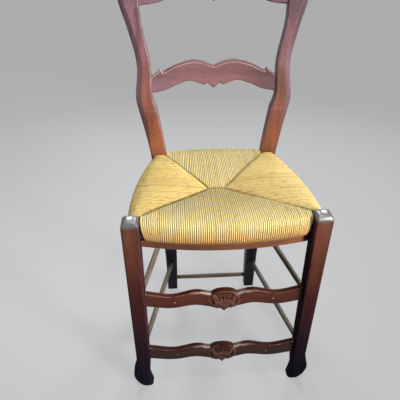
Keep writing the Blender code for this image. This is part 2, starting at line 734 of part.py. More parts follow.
def add_rung(name, start, end, start_depth, end_depth, finish):
    # Rung between two faces, with its ends let into them; gives the bores for both ends
    axis = (end - start).normalized()
    first = start - axis * start_depth
    last = end + axis * end_depth
    length = (last - first).length
    begin = start_depth / length
    finish_share = 1.0 - end_depth / length
    profile = [(0.0, RUNG_END_RADIUS), (begin, RUNG_END_RADIUS),
               (begin + 0.15, 0.5 * (RUNG_END_RADIUS + RUNG_RADIUS)), (0.5, RUNG_RADIUS),
               (finish_share - 0.15, 0.5 * (RUNG_END_RADIUS + RUNG_RADIUS)),
               (finish_share, RUNG_END_RADIUS), (1.0, RUNG_END_RADIUS)]
    turned(name, first, last, profile, finish)
    bore = RUNG_END_RADIUS + CLEARANCE
    past = 2.0 * RUNG_END_RADIUS
    straight = [(0.0, bore), (1.0, bore)]
    near = turned(name + "_bore_front", first - axis * CLEARANCE, start + axis * past, straight)
    away = turned(name + "_bore_back", end - axis * past, last + axis * CLEARANCE, straight)
    return hide_tool(near), hide_tool(away)


def add_side_rung(level, height, side, legs, posts, stretcher_bottom, finish):
    tenon_front = STRETCHER_SETBACK - leg_half(stretcher_bottom) + STRETCHER_TENON_SETBACK
    stop = tenon_front + STRETCHER_TENON_THICK + MORTISE_WALL
    start = Vector((side * leg_centre(height), leg_half(height), height))
    end = Vector((side * post_centre(height), post_face(height), height))
    axis = (end - start).normalized()
    leg_depth = (leg_half(height) - stop - RUNG_END_RADIUS * abs(axis.x)) / axis.y
    near, away = add_rung("side_rung_" + level + "_" + side_name(side), start, end,
                          leg_depth, RUNG_TENON_DEPTH, finish)
    cut(legs[side], near)
    cut(posts[side], away)


def add_back_rung(posts, finish):
    z = BACK_RUNG_HEIGHT
    y = post_face(z) + 0.5 * post_depth(z)
    start = Vector((-post_inner(z), y, z))
    end = Vector((post_inner(z), y, z))
    near, away = add_rung("back_rung", start, end, RUNG_TENON_DEPTH, RUNG_TENON_DEPTH, finish)
    cut(posts[-1], near)
    cut(posts[1], away)


def rail_section(top, height, thick, easing, grow):
    half = 0.5 * thick + grow
    return rounded_outline(-half, half, top - height - grow, top + grow, easing, RAIL_CORNER_STEPS)


def run_on(shares, past):
    # Stations along a rail, with one more at each end where the rail runs on past its seat
    return ([(shares[0], -past)] if past else []) + [(share, 0.0) for share in shares] + (
        [(shares[-1], past)] if past else [])


def front_rail_rings(top, height, thick, easing, facets, grow=0.0, past=0.0):
    # Bowed rail between the front legs
    section = rail_section(top, height, thick, easing, grow)
    rings = []
    for share, more in run_on([2.0 * k / facets - 1.0 for k in range(facets + 1)], past):
        ring = []
        for dy, z in section:
            x = share * (leg_inner(z) - CLEARANCE) + more
            ring.append((x, front_line(x) + dy, z))
        rings.append(ring)
    return rings


def side_rail_rings(side, grow=0.0, past=0.0):
    # Bowed and falling rail from a front leg to the post behind it
    section = rail_section(RAIL_TOP, SEAT_RAIL_HEIGHT, SEAT_RAIL_THICK, SEAT_RAIL_EASING, grow)
    rings = []
    for share, more in run_on([k / SIDE_RAIL_FACETS for k in range(SIDE_RAIL_FACETS + 1)], past):
        ring = []
        for dx, z in section:
            start = leg_half(z) + CLEARANCE
            end = post_face(z - SEAT_FALL) - CLEARANCE
            y = start + (end - start) * share + more
            ring.append((side * (side_line(y) + dx), y, z - seat_drop(y)))
        rings.append(ring)
    return rings


def back_rail_rings(grow=0.0, past=0.0):
    # Bowed rail between the posts
    section = rail_section(RAIL_TOP - SEAT_FALL, SEAT_RAIL_HEIGHT, SEAT_RAIL_THICK,
                           SEAT_RAIL_EASING, grow)
    rings = []
    for share, more in run_on([2.0 * k / BACK_RAIL_FACETS - 1.0 for k in range(BACK_RAIL_FACETS + 1)], past):
        ring = []
        for dy, z in section:
            x = share * (post_inner(z) - CLEARANCE) + more
            ring.append((x, back_line(x) + dy, z))
        rings.append(ring)
    return rings


def add_seat_frame(legs, posts, finish):
    split = RAIL_TOP - 0.5 * SEAT_RAIL_HEIGHT
    floor = RAIL_TOP - SEAT_RAIL_HEIGHT + SEAT_TENON_SHOULDER
    ceiling = RAIL_TOP - SEAT_TENON_SHOULDER
    thin = 0.5 * SEAT_TENON_THICK
    lower = (floor, split - 0.5 * MORTISE_WALL)
    upper = (split + 0.5 * MORTISE_WALL, ceiling)

    rings = front_rail_rings(RAIL_TOP, SEAT_RAIL_HEIGHT, SEAT_RAIL_THICK, SEAT_RAIL_EASING,
                             FRONT_RAIL_FACETS)
    loft("front_seat_rail", tenon_pair(
        "front_rail", rings, legs, leg_inner, SEAT_TENON_DEPTH,
        (FRONT_RAIL_BACK - thin, FRONT_RAIL_BACK + thin), lower), finish)
    loft("back_seat_rail", tenon_pair(
        "back_rail", back_rail_rings(), posts, post_inner, SEAT_TENON_DEPTH,
        (BACK_LINE - thin, BACK_LINE + thin), [z - SEAT_FALL for z in lower]), finish)
    for side in (-1, 1):
        word = side_name(side)
        rings = side_rail_rings(side)
        x = side * side_line(leg_half(split))
        front = tenon("side_rail_front_" + word, rings[0], legs[side], 1, -1,
                      lambda z: leg_half(z) + CLEARANCE, SEAT_TENON_DEPTH, (x - thin, x + thin), upper)
        x = side * side_line(post_face(split - SEAT_FALL))
        back = tenon("side_rail_back_" + word, rings[-1], posts[side], 1, 1,
                     lambda z: post_face(z) - CLEARANCE, SEAT_TENON_DEPTH, (x - thin, x + thin),
                     [z - SEAT_FALL for z in upper])
        loft("side_seat_rail_" + word, [front[1], front[0]] + rings + [back[0], back[1]], finish)


def add_apron(legs, finish):
    top = RAIL_TOP - SEAT_RAIL_HEIGHT - RUSH_THICK - CLEARANCE
    rings = front_rail_rings(top, APRON_HEIGHT, APRON_THICK, APRON_EASING, APRON_FACETS)
    thin = 0.5 * APRON_THICK - APRON_TENON_SHOULDER
    heights = (top - APRON_HEIGHT + APRON_TENON_SHOULDER, top - APRON_TENON_SHOULDER)
    loft("front_apron", tenon_pair(
        "apron", rings, legs, leg_inner, APRON_TENON_DEPTH,
        (FRONT_RAIL_BACK - thin, FRONT_RAIL_BACK + thin), heights), finish)


# The seat's four sides in order round the frame: name, outward direction and facets
SEAT_SIDES = (("front", (0.0, -1.0), 14), ("right", (1.0, 0.0), 8),
              ("back", (0.0, 1.0), 10), ("left", (-1.0, 0.0), 8))
FRONT_CORNER = side_line(0.0)
BACK_CORNER = side_line(BACK_LINE)


def rail_point(side, t):
    # Point on the centre line of one seat rail, from t = 0 to 1 round the frame
    if side == "front":
        x = FRONT_CORNER * (2.0 * t - 1.0)
        return Vector((x, front_line(x)))
    if side == "back":
        x = BACK_CORNER * (1.0 - 2.0 * t)
        return Vector((x, back_line(x)))
    along = t if side == "right" else 1.0 - t
    start = front_line(FRONT_CORNER)
    y = start + (BACK_LINE - start) * along
    out = side_line(y) if 0.0 < along < 1.0 else (FRONT_CORNER, BACK_CORNER)[along > 0.5]
    return Vector((out if side == "right" else -out, y))


def weave_point(side, t):
    # Where the strand that passes over rail_point ends, on the short middle seam
    left = WEAVE_OFFSET - 0.5 * WEAVE_BRIDGE
    share = {"front": t, "right": 1.0, "back": 1.0 - t, "left": 0.0}[side]
    return Vector((left + WEAVE_BRIDGE * share, WEAVE_MIDDLE))


def seat_layers(side, t, s):
    # Plan point a share s of the way from the middle seam to the rail, and its two surfaces
    rim = rail_point(side, t)
    hub = weave_point(side, t)
    at = hub.lerp(rim, s)
    ease = s * s * (3.0 - 2.0 * s)
    swell = PANEL_CROWN * math.sin(math.pi * t) ** PANEL_FULLNESS * 4.0 * s * (1.0 - s)
    rim_top = SEAT_HEIGHT - seat_drop(rim.y)
    hub_top = SEAT_HEIGHT - seat_drop(hub.y) - SEAT_DISH
    top = hub_top + (rim_top - hub_top) * ease + swell
    rim_low = rim_top - ROLL_HEIGHT
    hub_low = hub_top - SEAT_CORE
    return at, top, hub_low + (rim_low - hub_low) * ease


def seat_stations():
    stations = []
    before = SEAT_SIDES[-1][1]
    for side, out, count in SEAT_SIDES:
        for k in range(count):
            direction = Vector(out)
            if k == 0:
                direction = direction + Vector(before)
            stations.append((side, k / count, direction))
        before = out
    return stations


def rush_rings():
    stations = seat_stations()
    rings = []
    for s in SEAT_TOP_ROWS:
        ring = []
        for side, t, _ in stations:
            at, top, _ = seat_layers(side, t, s)
            ring.append((at.x, at.y, top))
        rings.append(ring)
    for degrees in SEAT_ROLL_ANGLES:
        turn = math.radians(degrees)
        out = ROLL_WIDTH * math.cos(turn) ** ROLL_SQUARENESS
        lift = math.copysign(abs(math.sin(turn)) ** ROLL_SQUARENESS, turn)
        ring = []
        for side, t, direction in stations:
            at = rail_point(side, t) + direction * out
            middle = SEAT_HEIGHT - seat_drop(rail_point(side, t).y) - 0.5 * ROLL_HEIGHT
            ring.append((at.x, at.y, middle + 0.5 * ROLL_HEIGHT * lift))
        rings.append(ring)
    for s in SEAT_UNDER_ROWS:
        ring = []
        for side, t, _ in stations:
            at, _, low = seat_layers(side, t, s)
            ring.append((at.x, at.y, low))
        rings.append(ring)
    return rings


def stuffing_rings(side, out, grow, joined):
    # Wedge of packing between the two layers of one panel; joined runs it on into the rail channel
    ends = rail_point(side, 0.0), rail_point(side, 1.0)
    margin = (STUFFING_CORNER - grow) / (ends[1] - ends[0]).length
    rail = 0.5 * SEAT_RAIL_THICK + CLEARANCE + MORTISE_WALL - grow
    rings = []
    for k in range(STUFFING_FACETS + 1):
        t = between(margin, 1.0 - margin, k / STUFFING_FACETS)
        away = abs((rail_point(side, t) - weave_point(side, t)).dot(Vector(out)))
        shares = [(STUFFING_START - grow) / away, 1.0 - rail / away] + ([1.0] if joined else [])
        upper = []
        lower = []
        for s in shares:
            at, top, low = seat_layers(side, t, s)
            upper.append((at.x, at.y, top - RUSH_THICK + grow))
            lower.append((at.x, at.y, low + RUSH_THICK - grow))
        rings.append(upper + lower[::-1])
    return rings


def add_rush_seat(rush, packing):
    seat = loft("rush_seat", rush_rings(), rush)
    low = SEAT_LINE - 2.0 * ROLL_HEIGHT
    high = LEG_TOP + ROLL_HEIGHT
    for side in (-1, 1):
        word = side_name(side)
        legs = []
        for z in (low, high):
            half = leg_half(z) + RUSH_GAP
            middle = leg_centre(z)
            outline = rounded_outline(middle - half, middle + half, -half, half, LEG_EASING)
            legs.append([(side * x, y, z) for x, y in outline])
        cut(seat, loft("leg_notch_" + word, legs))
        levels = [between(low, high, k / NOTCH_FACETS) for k in range(NOTCH_FACETS + 1)]
        posts = [mirror(post_ring(z, RUSH_GAP), side) for z in levels]
        cut(seat, loft("post_notch_" + word, posts))
        cut(seat, loft("side_channel_" + word, side_rail_rings(side, CLEARANCE, SEAT_TENON_DEPTH)))
    cut(seat, loft("front_channel", front_rail_rings(
        RAIL_TOP, SEAT_RAIL_HEIGHT, SEAT_RAIL_THICK, SEAT_RAIL_EASING, FRONT_RAIL_FACETS,
        CLEARANCE, SEAT_TENON_DEPTH)))
    cut(seat, loft("back_channel", back_rail_rings(CLEARANCE, SEAT_TENON_DEPTH)))
    for side, out, _ in SEAT_SIDES:
        loft("seat_stuffing_" + side, stuffing_rings(side, out, 0.0, False), packing)
        cut(seat, loft("stuffing_pocket_" + side, stuffing_rings(side, out, CLEARANCE, True)))


def stand_on_origin():
    # Parent every piece to one empty that centres the stool over the origin
    root = bpy.data.objects.new("bar_stool", None)
    bpy.context.scene.collection.objects.link(root)
    pieces = [item for item in bpy.data.objects if item.type == "MESH"]
    solids = [item for item in pieces if not item.hide_render]
    depths = [vertex.co.y for item in solids for vertex in item.data.vertices]
    root.location.y = -0.5 * (min(depths) + max(depths))
    for item in pieces:
        item.parent = root


def main():
    clear_scene()
    walnut = make_material("walnut_stain", (0.16, 0.060, 0.036), 0.38)
    carved = make_material("walnut_carved", (0.20, 0.080, 0.045), 0.36)
    dowel = make_material("pale_dowel", (0.33, 0.27, 0.17), 0.55)
    hidden = make_material("frame_beech", (0.42, 0.30, 0.17), 0.60)
    rush = make_material("rush_straw", (0.62, 0.43, 0.17), 0.70)
    packing = make_material("rush_packing", (0.50, 0.38, 0.18), 0.85)
    pin = make_material("pin_wood", (0.45, 0.33, 0.24), 0.35)

    legs = {side: add_front_leg(side, walnut) for side in (-1, 1)}
    posts = {side: add_back_post(side, walnut) for side in (-1, 1)}

    slat_sizes = (SLAT_DIP, SLAT_HUMP, SLAT_STEP, SLAT_EAR, SLAT_END)
    crest_sizes = (CREST_DIP, CREST_HUMP, CREST_STEP, CREST_EAR, CREST_END)
    add_ladder_rail("back_slat", SEAT_LINE + SLAT_RISE, SLAT_DEPTH, slat_sizes, posts, walnut)
    add_ladder_rail("crest_rail", SEAT_LINE + CREST_RISE, CREST_DEPTH, crest_sizes, posts, walnut)

    for level, bottom, height in (("upper", UPPER_STRETCHER_HEIGHT, UPPER_RUNG_HEIGHT),
                                  ("lower", LOWER_STRETCHER_HEIGHT, LOWER_RUNG_HEIGHT)):
        stretcher = add_stretcher("front_stretcher_" + level, bottom, legs, carved)
        add_pins("stretcher_pin_" + level, stretcher, bottom, pin)
        for side in (-1, 1):
            add_side_rung(level, height, side, legs, posts, bottom, dowel)
    add_back_rung(posts, dowel)
    add_seat_frame(legs, posts, hidden)
    add_apron(legs, walnut)
    add_rush_seat(rush, packing)
    stand_on_origin()


main()
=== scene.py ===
# Ladderback bar stool with a woven rush seat: finishes, rush, rungs, carving, floor, light and camera.
import math
import random

import bpy
from mathutils import Matrix, Vector


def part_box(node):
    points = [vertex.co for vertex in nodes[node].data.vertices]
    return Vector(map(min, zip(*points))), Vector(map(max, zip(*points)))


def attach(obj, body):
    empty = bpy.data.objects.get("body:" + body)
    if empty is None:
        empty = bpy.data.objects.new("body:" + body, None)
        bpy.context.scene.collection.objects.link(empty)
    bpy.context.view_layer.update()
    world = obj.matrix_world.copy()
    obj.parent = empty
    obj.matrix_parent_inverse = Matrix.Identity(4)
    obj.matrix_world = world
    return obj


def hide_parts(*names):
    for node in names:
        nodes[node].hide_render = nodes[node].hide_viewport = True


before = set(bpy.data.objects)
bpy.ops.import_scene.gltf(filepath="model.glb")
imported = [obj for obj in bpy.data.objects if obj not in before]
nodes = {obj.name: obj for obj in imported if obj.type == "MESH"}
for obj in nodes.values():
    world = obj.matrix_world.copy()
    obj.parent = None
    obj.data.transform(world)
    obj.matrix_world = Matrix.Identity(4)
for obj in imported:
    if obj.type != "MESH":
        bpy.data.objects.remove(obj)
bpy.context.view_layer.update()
print("stool loaded:", len(nodes), "solids")


# Small helpers for node trees

def feed(tree, socket, value):
    if isinstance(value, bpy.types.NodeSocket):
        tree.links.new(value, socket)
    elif isinstance(value, tuple) and socket.type == "RGBA":
        socket.default_value = (*value[:3], 1.0)
    else:
        socket.default_value = value


def addNode(tree, kind, feeds=None, **settings):
    made = tree.nodes.new(kind)
    for name, value in settings.items():
        setattr(made, name, value)
    for socket, value in (feeds or {}).items():
        feed(tree, made.inputs[socket], value)
    return made


def mixColours(tree, share, first, second, blend="MIX"):
    made = addNode(tree, "ShaderNodeMix", data_type="RGBA", blend_type=blend)
    for index, value in ((0, share), (6, first), (7, second)):
        feed(tree, made.inputs[index], value)
    return made.outputs[2]


def fit(tree, value, low, high, toLow=0.0, toHigh=1.0):
    made = addNode(tree, "ShaderNodeMapRange", {
        "Value": value, "From Min": low, "From Max": high, "To Min": toLow, "To Max": toHigh})
    return made.outputs["Result"]


def sums(tree, operation, first, second=0.0):
    made = addNode(tree, "ShaderNodeMath", {0: first, 1: second}, operation=operation)
    return made.outputs[0]


def product(tree, first, *others):
    for other in others:
        first = sums(tree, "MULTIPLY", first, other)
    return first


def noise(tree, place, scale, detail=3.0, rough=0.55, bend=0.0):
    made = addNode(tree, "ShaderNodeTexNoise", {
        "Vector": place, "Scale": scale, "Detail": detail, "Roughness": rough, "Distortion": bend})
    return made.outputs["Fac"]


def split(tree, vector):
    return addNode(tree, "ShaderNodeSeparateXYZ", {0: vector}).outputs


def mark(tree, name, output="Fac"):
    # a value that the mesh carries at each point
    return addNode(tree, "ShaderNodeAttribute", attribute_name=name).outputs[output]


def newFinish(name):
    material = bpy.data.materials.new(name)
    material.use_nodes = True
    return material, material.node_tree, material.node_tree.nodes["Principled BSDF"].inputs


# Small helpers for shapes

def newShapeTree(name, inputs):
    tree = bpy.data.node_groups.new(name, "GeometryNodeTree")
    for label, kind in {"Geometry": "Geometry", **inputs}.items():
        tree.interface.new_socket(label, in_out="INPUT", socket_type="NodeSocket" + kind)
    tree.interface.new_socket("Geometry", in_out="OUTPUT", socket_type="NodeSocketGeometry")
    return tree, tree.nodes.new("NodeGroupInput").outputs


def named(tree, name, kind):
    made = addNode(tree, "GeometryNodeInputNamedAttribute", {"Name": name}, data_type=kind)
    return made.outputs["Attribute"]


def stored(tree, shape, name, value, kind):
    made = addNode(tree, "GeometryNodeStoreNamedAttribute", {"Geometry": shape, "Name": name, "Value": value},
                   data_type=kind, domain="POINT")
    return made.outputs[0]


def setInputs(modifier, values):
    for item in modifier.node_group.interface.items_tree:
        if item.in_out == "INPUT" and item.name in values:
            modifier[item.identifier] = values[item.name]


def setMarks(mesh, marks):
    for name, values in marks.items():
        mesh.attributes.new(name, "FLOAT", "POINT").data.foreach_set("value", values)


def setArrows(mesh, arrows):
    for name, values in arrows.items():
        mesh.attributes.new(name, "FLOAT_VECTOR", "POINT").data.foreach_set("vector", values)


def addPiece(name, data):
    piece = bpy.data.objects.new(name, data)
    bpy.context.scene.collection.objects.link(piece)
    return piece


def addShaped(name, mesh, tree, inputs):
    # runs a tree on the mesh and keeps what it makes as a plain mesh
    piece = addPiece(name, mesh)
    step = piece.modifiers.new(tree.name, "NODES")
    step.node_group = tree
    setInputs(step, inputs)
    bpy.context.view_layer.update()
    shaped = piece.evaluated_get(bpy.context.evaluated_depsgraph_get())
    plain = bpy.data.meshes.new_from_object(shaped)
    plain.name = name
    piece.modifiers.clear()
    piece.data = plain
    return piece


def clamp(value, low, high):
    return max(low, min(high, value))


# Wood

grain = {
    # scales for grain along each axis
    "x": (3.0, 60.0, 60.0), "y": (60.0, 3.0, 60.0), "z": (60.0, 60.0, 3.0),
    # share of those scales, detail, roughness and bend
    "streaks": (1.0, 5.0, 0.62, 0.5), "pores": (6.0, 2.0, 0.5, 0.0), "boards": (0.45, 2.0, 0.5, 0.3),
    "clouds": 9.0, "specks": (380.0, 2.0, 0.6),
    # the range of each noise that shows, and how light it leaves the stain
    "streakRange": (0.30, 0.70), "streakLight": 1.08, "boardRange": (0.36, 0.60), "boardLight": 1.10,
    "cloudRange": (0.35, 0.70), "cloudLight": (1.06, 0.84), "speckRange": (0.35, 0.65),
    "poreRange": (0.60, 0.75), "poreLight": (1.0, 0.7), "poreDip": 0.6,
    "dulled": 0.10, "bump": 0.12, "bumpDepth": 0.0008,
}
# ranges run from where a rub begins to where it is full
wear = {
    "rays": 6, "hollowReach": 0.007, "hollowRange": (0.25, 0.85), "hollowDark": 0.38,
    "patches": 55.0, "wornPatches": (0.34, 0.60, 0.25, 1.0), "upward": (0.60, 0.98),
    "edgeRadius": 0.0022, "edgeTurn": (0.997, 0.962), "edgePatches": (0.34, 0.58), "edgeOpen": (0.45, 0.75),
    "edgeUp": (0.10, 0.45), "sideways": (0.30, 0.55), "sideFade": 0.12, "ridgeRange": (0.25, 0.85),
    "ridgeRubAndHighlight": 1.2,
}

# what a finish has where its own look says nothing else
plainLook = {"gloss": 0.38, "coat": 0.0, "coatRough": 0.16, "coatIndex": 1.5,
             "wornShare": 0.2, "edgeShare": 0.2, "edgeFloor": 0.0}
# tones: colour at heights above the floor, in places with painted shade and painted sheen; dark: depth of the
# grain's darker streaks
woodLooks = {
    "walnutPost": {
        # post tones darken to navy towards the floor, painted shade, and turn plum-grey towards the top, a
        # painted sheen
        "tones": [(0.0, (0.018, 0.014, 0.028)), (0.34, (0.031, 0.021, 0.034)), (0.52, (0.10, 0.040, 0.028)),
                  (0.61, (0.29, 0.098, 0.045)), (0.70, (0.246, 0.087, 0.055)), (0.80, (0.235, 0.095, 0.081)),
                  (0.92, (0.245, 0.120, 0.143)), (1.08, (0.252, 0.147, 0.184))],
        "dark": 0.64, "dust": 0.14, "coat": 0.05, "shine": 0.16,
        "worn": (0.46, 0.33, 0.30), "wornShare": 0.25, "edgeShare": 0.6,
        "crease": {"height": 0.7125, "reach": (0.0008, 0.004), "share": 0.1, "front": (-0.4, -0.7)},
        "sideShadeAndSheen": {"colour": (0.262, 0.175, 0.220), "from": 0.60, "share": 0.65}},
    "walnutSlat": {
        # slat tones turn plum-grey towards the top, a painted sheen
        "tones": [(0.70, (0.215, 0.092, 0.083)), (0.90, (0.225, 0.110, 0.120)),
                  (1.08, (0.262, 0.182, 0.207))],
        "dark": 0.76, "dust": 0.16, "coat": 0.06, "shine": 0.26,
        # the pale line along the slat's upper edges is partly a painted highlight
        "edge": (0.75, 0.66, 0.62), "edgeShare": 1.0, "edgeFloor": 0.6, "upperEdgeRubAndHighlight": True,
        "rim": {"up": (0.86, 0.96), "light": 0.35},
        "ends": {"colour": (0.140, 0.078, 0.096), "from": 0.07, "to": 0.15, "share": 0.75}},
    "walnutLeg": {
        # leg tones darken to navy towards the feet, painted shade
        "tones": [(0.0, (0.036, 0.030, 0.062)), (0.16, (0.046, 0.022, 0.040)), (0.36, (0.092, 0.028, 0.024)),
                  (0.54, (0.165, 0.056, 0.034)), (0.590, (0.165, 0.066, 0.044)),
                  (0.597, (0.10, 0.080, 0.070)), (0.609, (0.045, 0.045, 0.05))],
        "dark": 0.60, "coat": 0.03, "shine": 0.0,
        # the grey on the domed leg tops is a painted reflection
        "worn": (0.26, 0.25, 0.24), "wornShare": 0.3, "edge": (0.34, 0.18, 0.12), "edgeShare": 0.4,
        "polish": (0.590, 0.600, 1.0), "coatIndex": 2.5, "coatRough": 0.40,
        "sideShadeAndSheen": {"colour": (0.080, 0.040, 0.066), "from": 0.22, "share": 0.8}},
    "walnutApron": {
        "tones": [(0.50, (0.25, 0.098, 0.048)), (0.56, (0.25, 0.100, 0.052))],
        "dark": 0.70, "coat": 0.05, "shine": 0.12,
        "worn": (0.34, 0.20, 0.13), "wornShare": 0.3, "edge": (0.40, 0.24, 0.17), "edgeShare": 0.6},
    "walnutCarved": {
        # the lower stretcher is darker than the upper one, painted shade
        "tones": [(0.08, (0.075, 0.019, 0.015)), (0.16, (0.095, 0.024, 0.017)), (0.32, (0.115, 0.029, 0.016)),
                  (0.42, (0.145, 0.038, 0.019))],
        "dark": 0.62, "gloss": 0.30, "coat": 0.25, "shine": 0.10,
        "worn": (0.20, 0.12, 0.10), "wornShare": 0.05, "edge": (0.52, 0.38, 0.33), "edgeShare": 0.9,
        "upperEdgeRubAndHighlight": True,
        "shoulderRubAndHighlight": {"colour": (0.95, 0.76, 0.66), "inner": (0.032, 0.036), "outer": (0.050, 0.090),
                     "share": 0.95, "streaks": (0.35, 0.55, 0.35, 1.0),
                     "slope": (0.16, 0.40), "flat": (0.97, 0.90)}},
    "walnutLeaf": {
        "tones": [(0.08, (0.260, 0.110, 0.070)), (0.16, (0.250, 0.100, 0.066)), (0.32, (0.195, 0.067, 0.050)),
                  (0.42, (0.195, 0.067, 0.050))],
        "dark": 0.72, "gloss": 0.30, "coat": 0.25, "shine": 0.15, "valleyStainAndShade": 0.22,
        "worn": (0.40, 0.26, 0.21), "wornShare": 0.5},
    "paleDowel": {
        "tones": [(0.10, (0.33, 0.26, 0.185)), (0.42, (0.27, 0.22, 0.145))],
        "dark": 0.62, "gloss": 0.34, "shine": 0.20, "worn": (0.30, 0.25, 0.19)},
    "backDowel": {
        "tones": [(0.10, (0.33, 0.26, 0.175)), (0.42, (0.33, 0.26, 0.175))],
        "dark": 0.66, "gloss": 0.34, "shine": 0.20, "worn": (0.20, 0.15, 0.11)},
    "frameBeech": {
        "tones": [(0.50, (0.40, 0.29, 0.16)), (0.60, (0.48, 0.35, 0.20))],
        "dark": 0.75, "gloss": 0.60, "shine": 0.4, "worn": (0.48, 0.36, 0.22)},
    "pinWood": {
        "tones": [(0.10, (0.46, 0.35, 0.26)), (0.40, (0.52, 0.40, 0.30))],
        "dark": 0.78, "gloss": 0.35, "coat": 0.3, "shine": 0.5,
        "worn": (0.60, 0.48, 0.38), "wornShare": 0.4, "edgeShare": 0.3},
}


def grainNoise(tree, place, way, kind):
    share, detail, rough, bend = grain[kind]
    scale = tuple(share * value for value in grain[way])
    drawn = addNode(tree, "ShaderNodeMapping", {"Vector": place, "Scale": scale}).outputs[0]
    return noise(tree, drawn, 1.0, detail, rough, bend)


def heightTones(tree, height, tones):
    low, high = tones[0][0], tones[-1][0]
    ramp = addNode(tree, "ShaderNodeValToRGB", {"Fac": fit(tree, height, low, high)})
    stops = ramp.color_ramp.elements
    stops[0].color = (*tones[0][1], 1.0)
    stops[1].color = (*tones[-1][1], 1.0)
    for place, tone in tones[1:-1]:
        stops.new((place - low) / (high - low)).color = (*tone, 1.0)
    return ramp.outputs["Color"]


def woodTone(tree, look, wood):
    tone = heightTones(tree, wood["spot"]["Z"], look["tones"])
    if "sideShadeAndSheen" in look:  # painted light: dark plum shade on the sides of the legs, plum-grey shade and sheen on the sides of the upper posts
        paintedSide = look["sideShadeAndSheen"]
        full = paintedSide["from"] + wear["sideFade"]
        paintedSideShare = product(tree, fit(tree, sums(tree, "ABSOLUTE", wood["facing"]["X"]), *wear["sideways"]),
                        fit(tree, wood["spot"]["Z"], paintedSide["from"], full, 0.0, paintedSide["share"]))
        tone = mixColours(tree, paintedSideShare, tone, paintedSide["colour"])
    if "ends" in look:  # plum towards the posts
        ends = look["ends"]
        sideways = sums(tree, "ABSOLUTE", wood["spot"]["X"])
        far = fit(tree, sideways, ends["from"], ends["to"], 0.0, ends["share"])
        tone = mixColours(tree, far, tone, ends["colour"])
    return tone


def stainDepth(tree, look, wood):
    # grain, cloudy stain, open pores and broad boards darken the tone
    clouds = noise(tree, wood["place"], grain["clouds"])
    shares = [fit(tree, wood["streaks"], *grain["streakRange"], look["dark"], grain["streakLight"]),
              fit(tree, clouds, *grain["cloudRange"], *grain["cloudLight"]),
              fit(tree, wood["pores"], *grain["poreRange"], *grain["poreLight"]),
              fit(tree, wood["boards"], *grain["boardRange"], look["dark"], grain["boardLight"])]
    if "dust" in look:  # a fine speckle in the dry finish
        specks = noise(tree, wood["place"], *grain["specks"])
        shares.append(fit(tree, specks, *grain["speckRange"], 1.0 - look["dust"], 1.0 + look["dust"]))
    # grime and painted shade darken the hollows
    shares.append(fit(tree, wood["hollow"], *wear["hollowRange"], wear["hollowDark"], 1.0))
    if "rim" in look:  # the flat top kept darker between its paler edges
        rim = look["rim"]
        shares.append(fit(tree, wood["facing"]["Z"], *rim["up"], 1.0, rim["light"]))
    if "valleyStainAndShade" in look:  # stain and painted shade deep between the carved lobes, rubbing and a painted highlight on their ridges
        ridge = mark(tree, "ridge")
        shares.append(fit(tree, ridge, *wear["ridgeRange"], look["valleyStainAndShade"], wear["ridgeRubAndHighlight"]))
    return product(tree, *shares)


def rubbedWood(tree, look, wood, colour):
    # handled edges are rubbed paler, and upward faces are rubbed paler with a painted sheen
    up = wood["facing"]["Z"]
    patches = noise(tree, wood["place"], wear["patches"])
    if "worn" in look:
        rubbed = product(tree, fit(tree, up, *wear["upward"]), fit(tree, patches, *wear["wornPatches"]),
                         look["wornShare"])
        colour = mixColours(tree, rubbed, colour, look["worn"])
    bevel = addNode(tree, "ShaderNodeBevel", {"Radius": wear["edgeRadius"]}, samples=wear["rays"])
    eased = bevel.outputs["Normal"]
    match = addNode(tree, "ShaderNodeVectorMath", {0: eased, 1: wood["normal"]}, operation="DOT_PRODUCT")
    edge = product(tree, fit(tree, match.outputs["Value"], *wear["edgeTurn"]),
                   fit(tree, patches, *wear["edgePatches"], look["edgeFloor"], 1.0),
                   fit(tree, wood["hollow"], *wear["edgeOpen"], 0.0, look["edgeShare"]))
    if "upperEdgeRubAndHighlight" in look:  # rubbed paler and a painted highlight, only on the edges that look upwards
        edge = product(tree, edge, fit(tree, split(tree, eased)["Z"], *wear["edgeUp"]))
    colour = mixColours(tree, edge, colour, look["edge"])
    if "shoulderRubAndHighlight" in look:  # painted highlight on the shoulders beside the carving, also rubbed by feet
        shoulderMark = look["shoulderRubAndHighlight"]
        sideways = sums(tree, "ABSOLUTE", wood["spot"]["X"])
        near = product(tree, fit(tree, sideways, *shoulderMark["inner"]),
                       fit(tree, sideways, *shoulderMark["outer"], shoulderMark["share"], 0.0),
                       fit(tree, wood["streaks"], *shoulderMark["streaks"]))
        shoulder = product(tree, fit(tree, up, *shoulderMark["slope"]), fit(tree, up, *shoulderMark["flat"]))
        colour = mixColours(tree, product(tree, near, shoulder), colour, shoulderMark["colour"])
    if "crease" in look:  # painted highlight along the crease under the knee, in front
        crease = look["crease"]
        off = sums(tree, "ABSOLUTE", sums(tree, "SUBTRACT", wood["spot"]["Z"], crease["height"]))
        creaseHighlight = product(tree, fit(tree, off, *crease["reach"], crease["share"], 0.0),
                       fit(tree, wood["facing"]["Y"], *crease["front"]))
        colour = mixColours(tree, creaseHighlight, colour, look["edge"])
    return colour


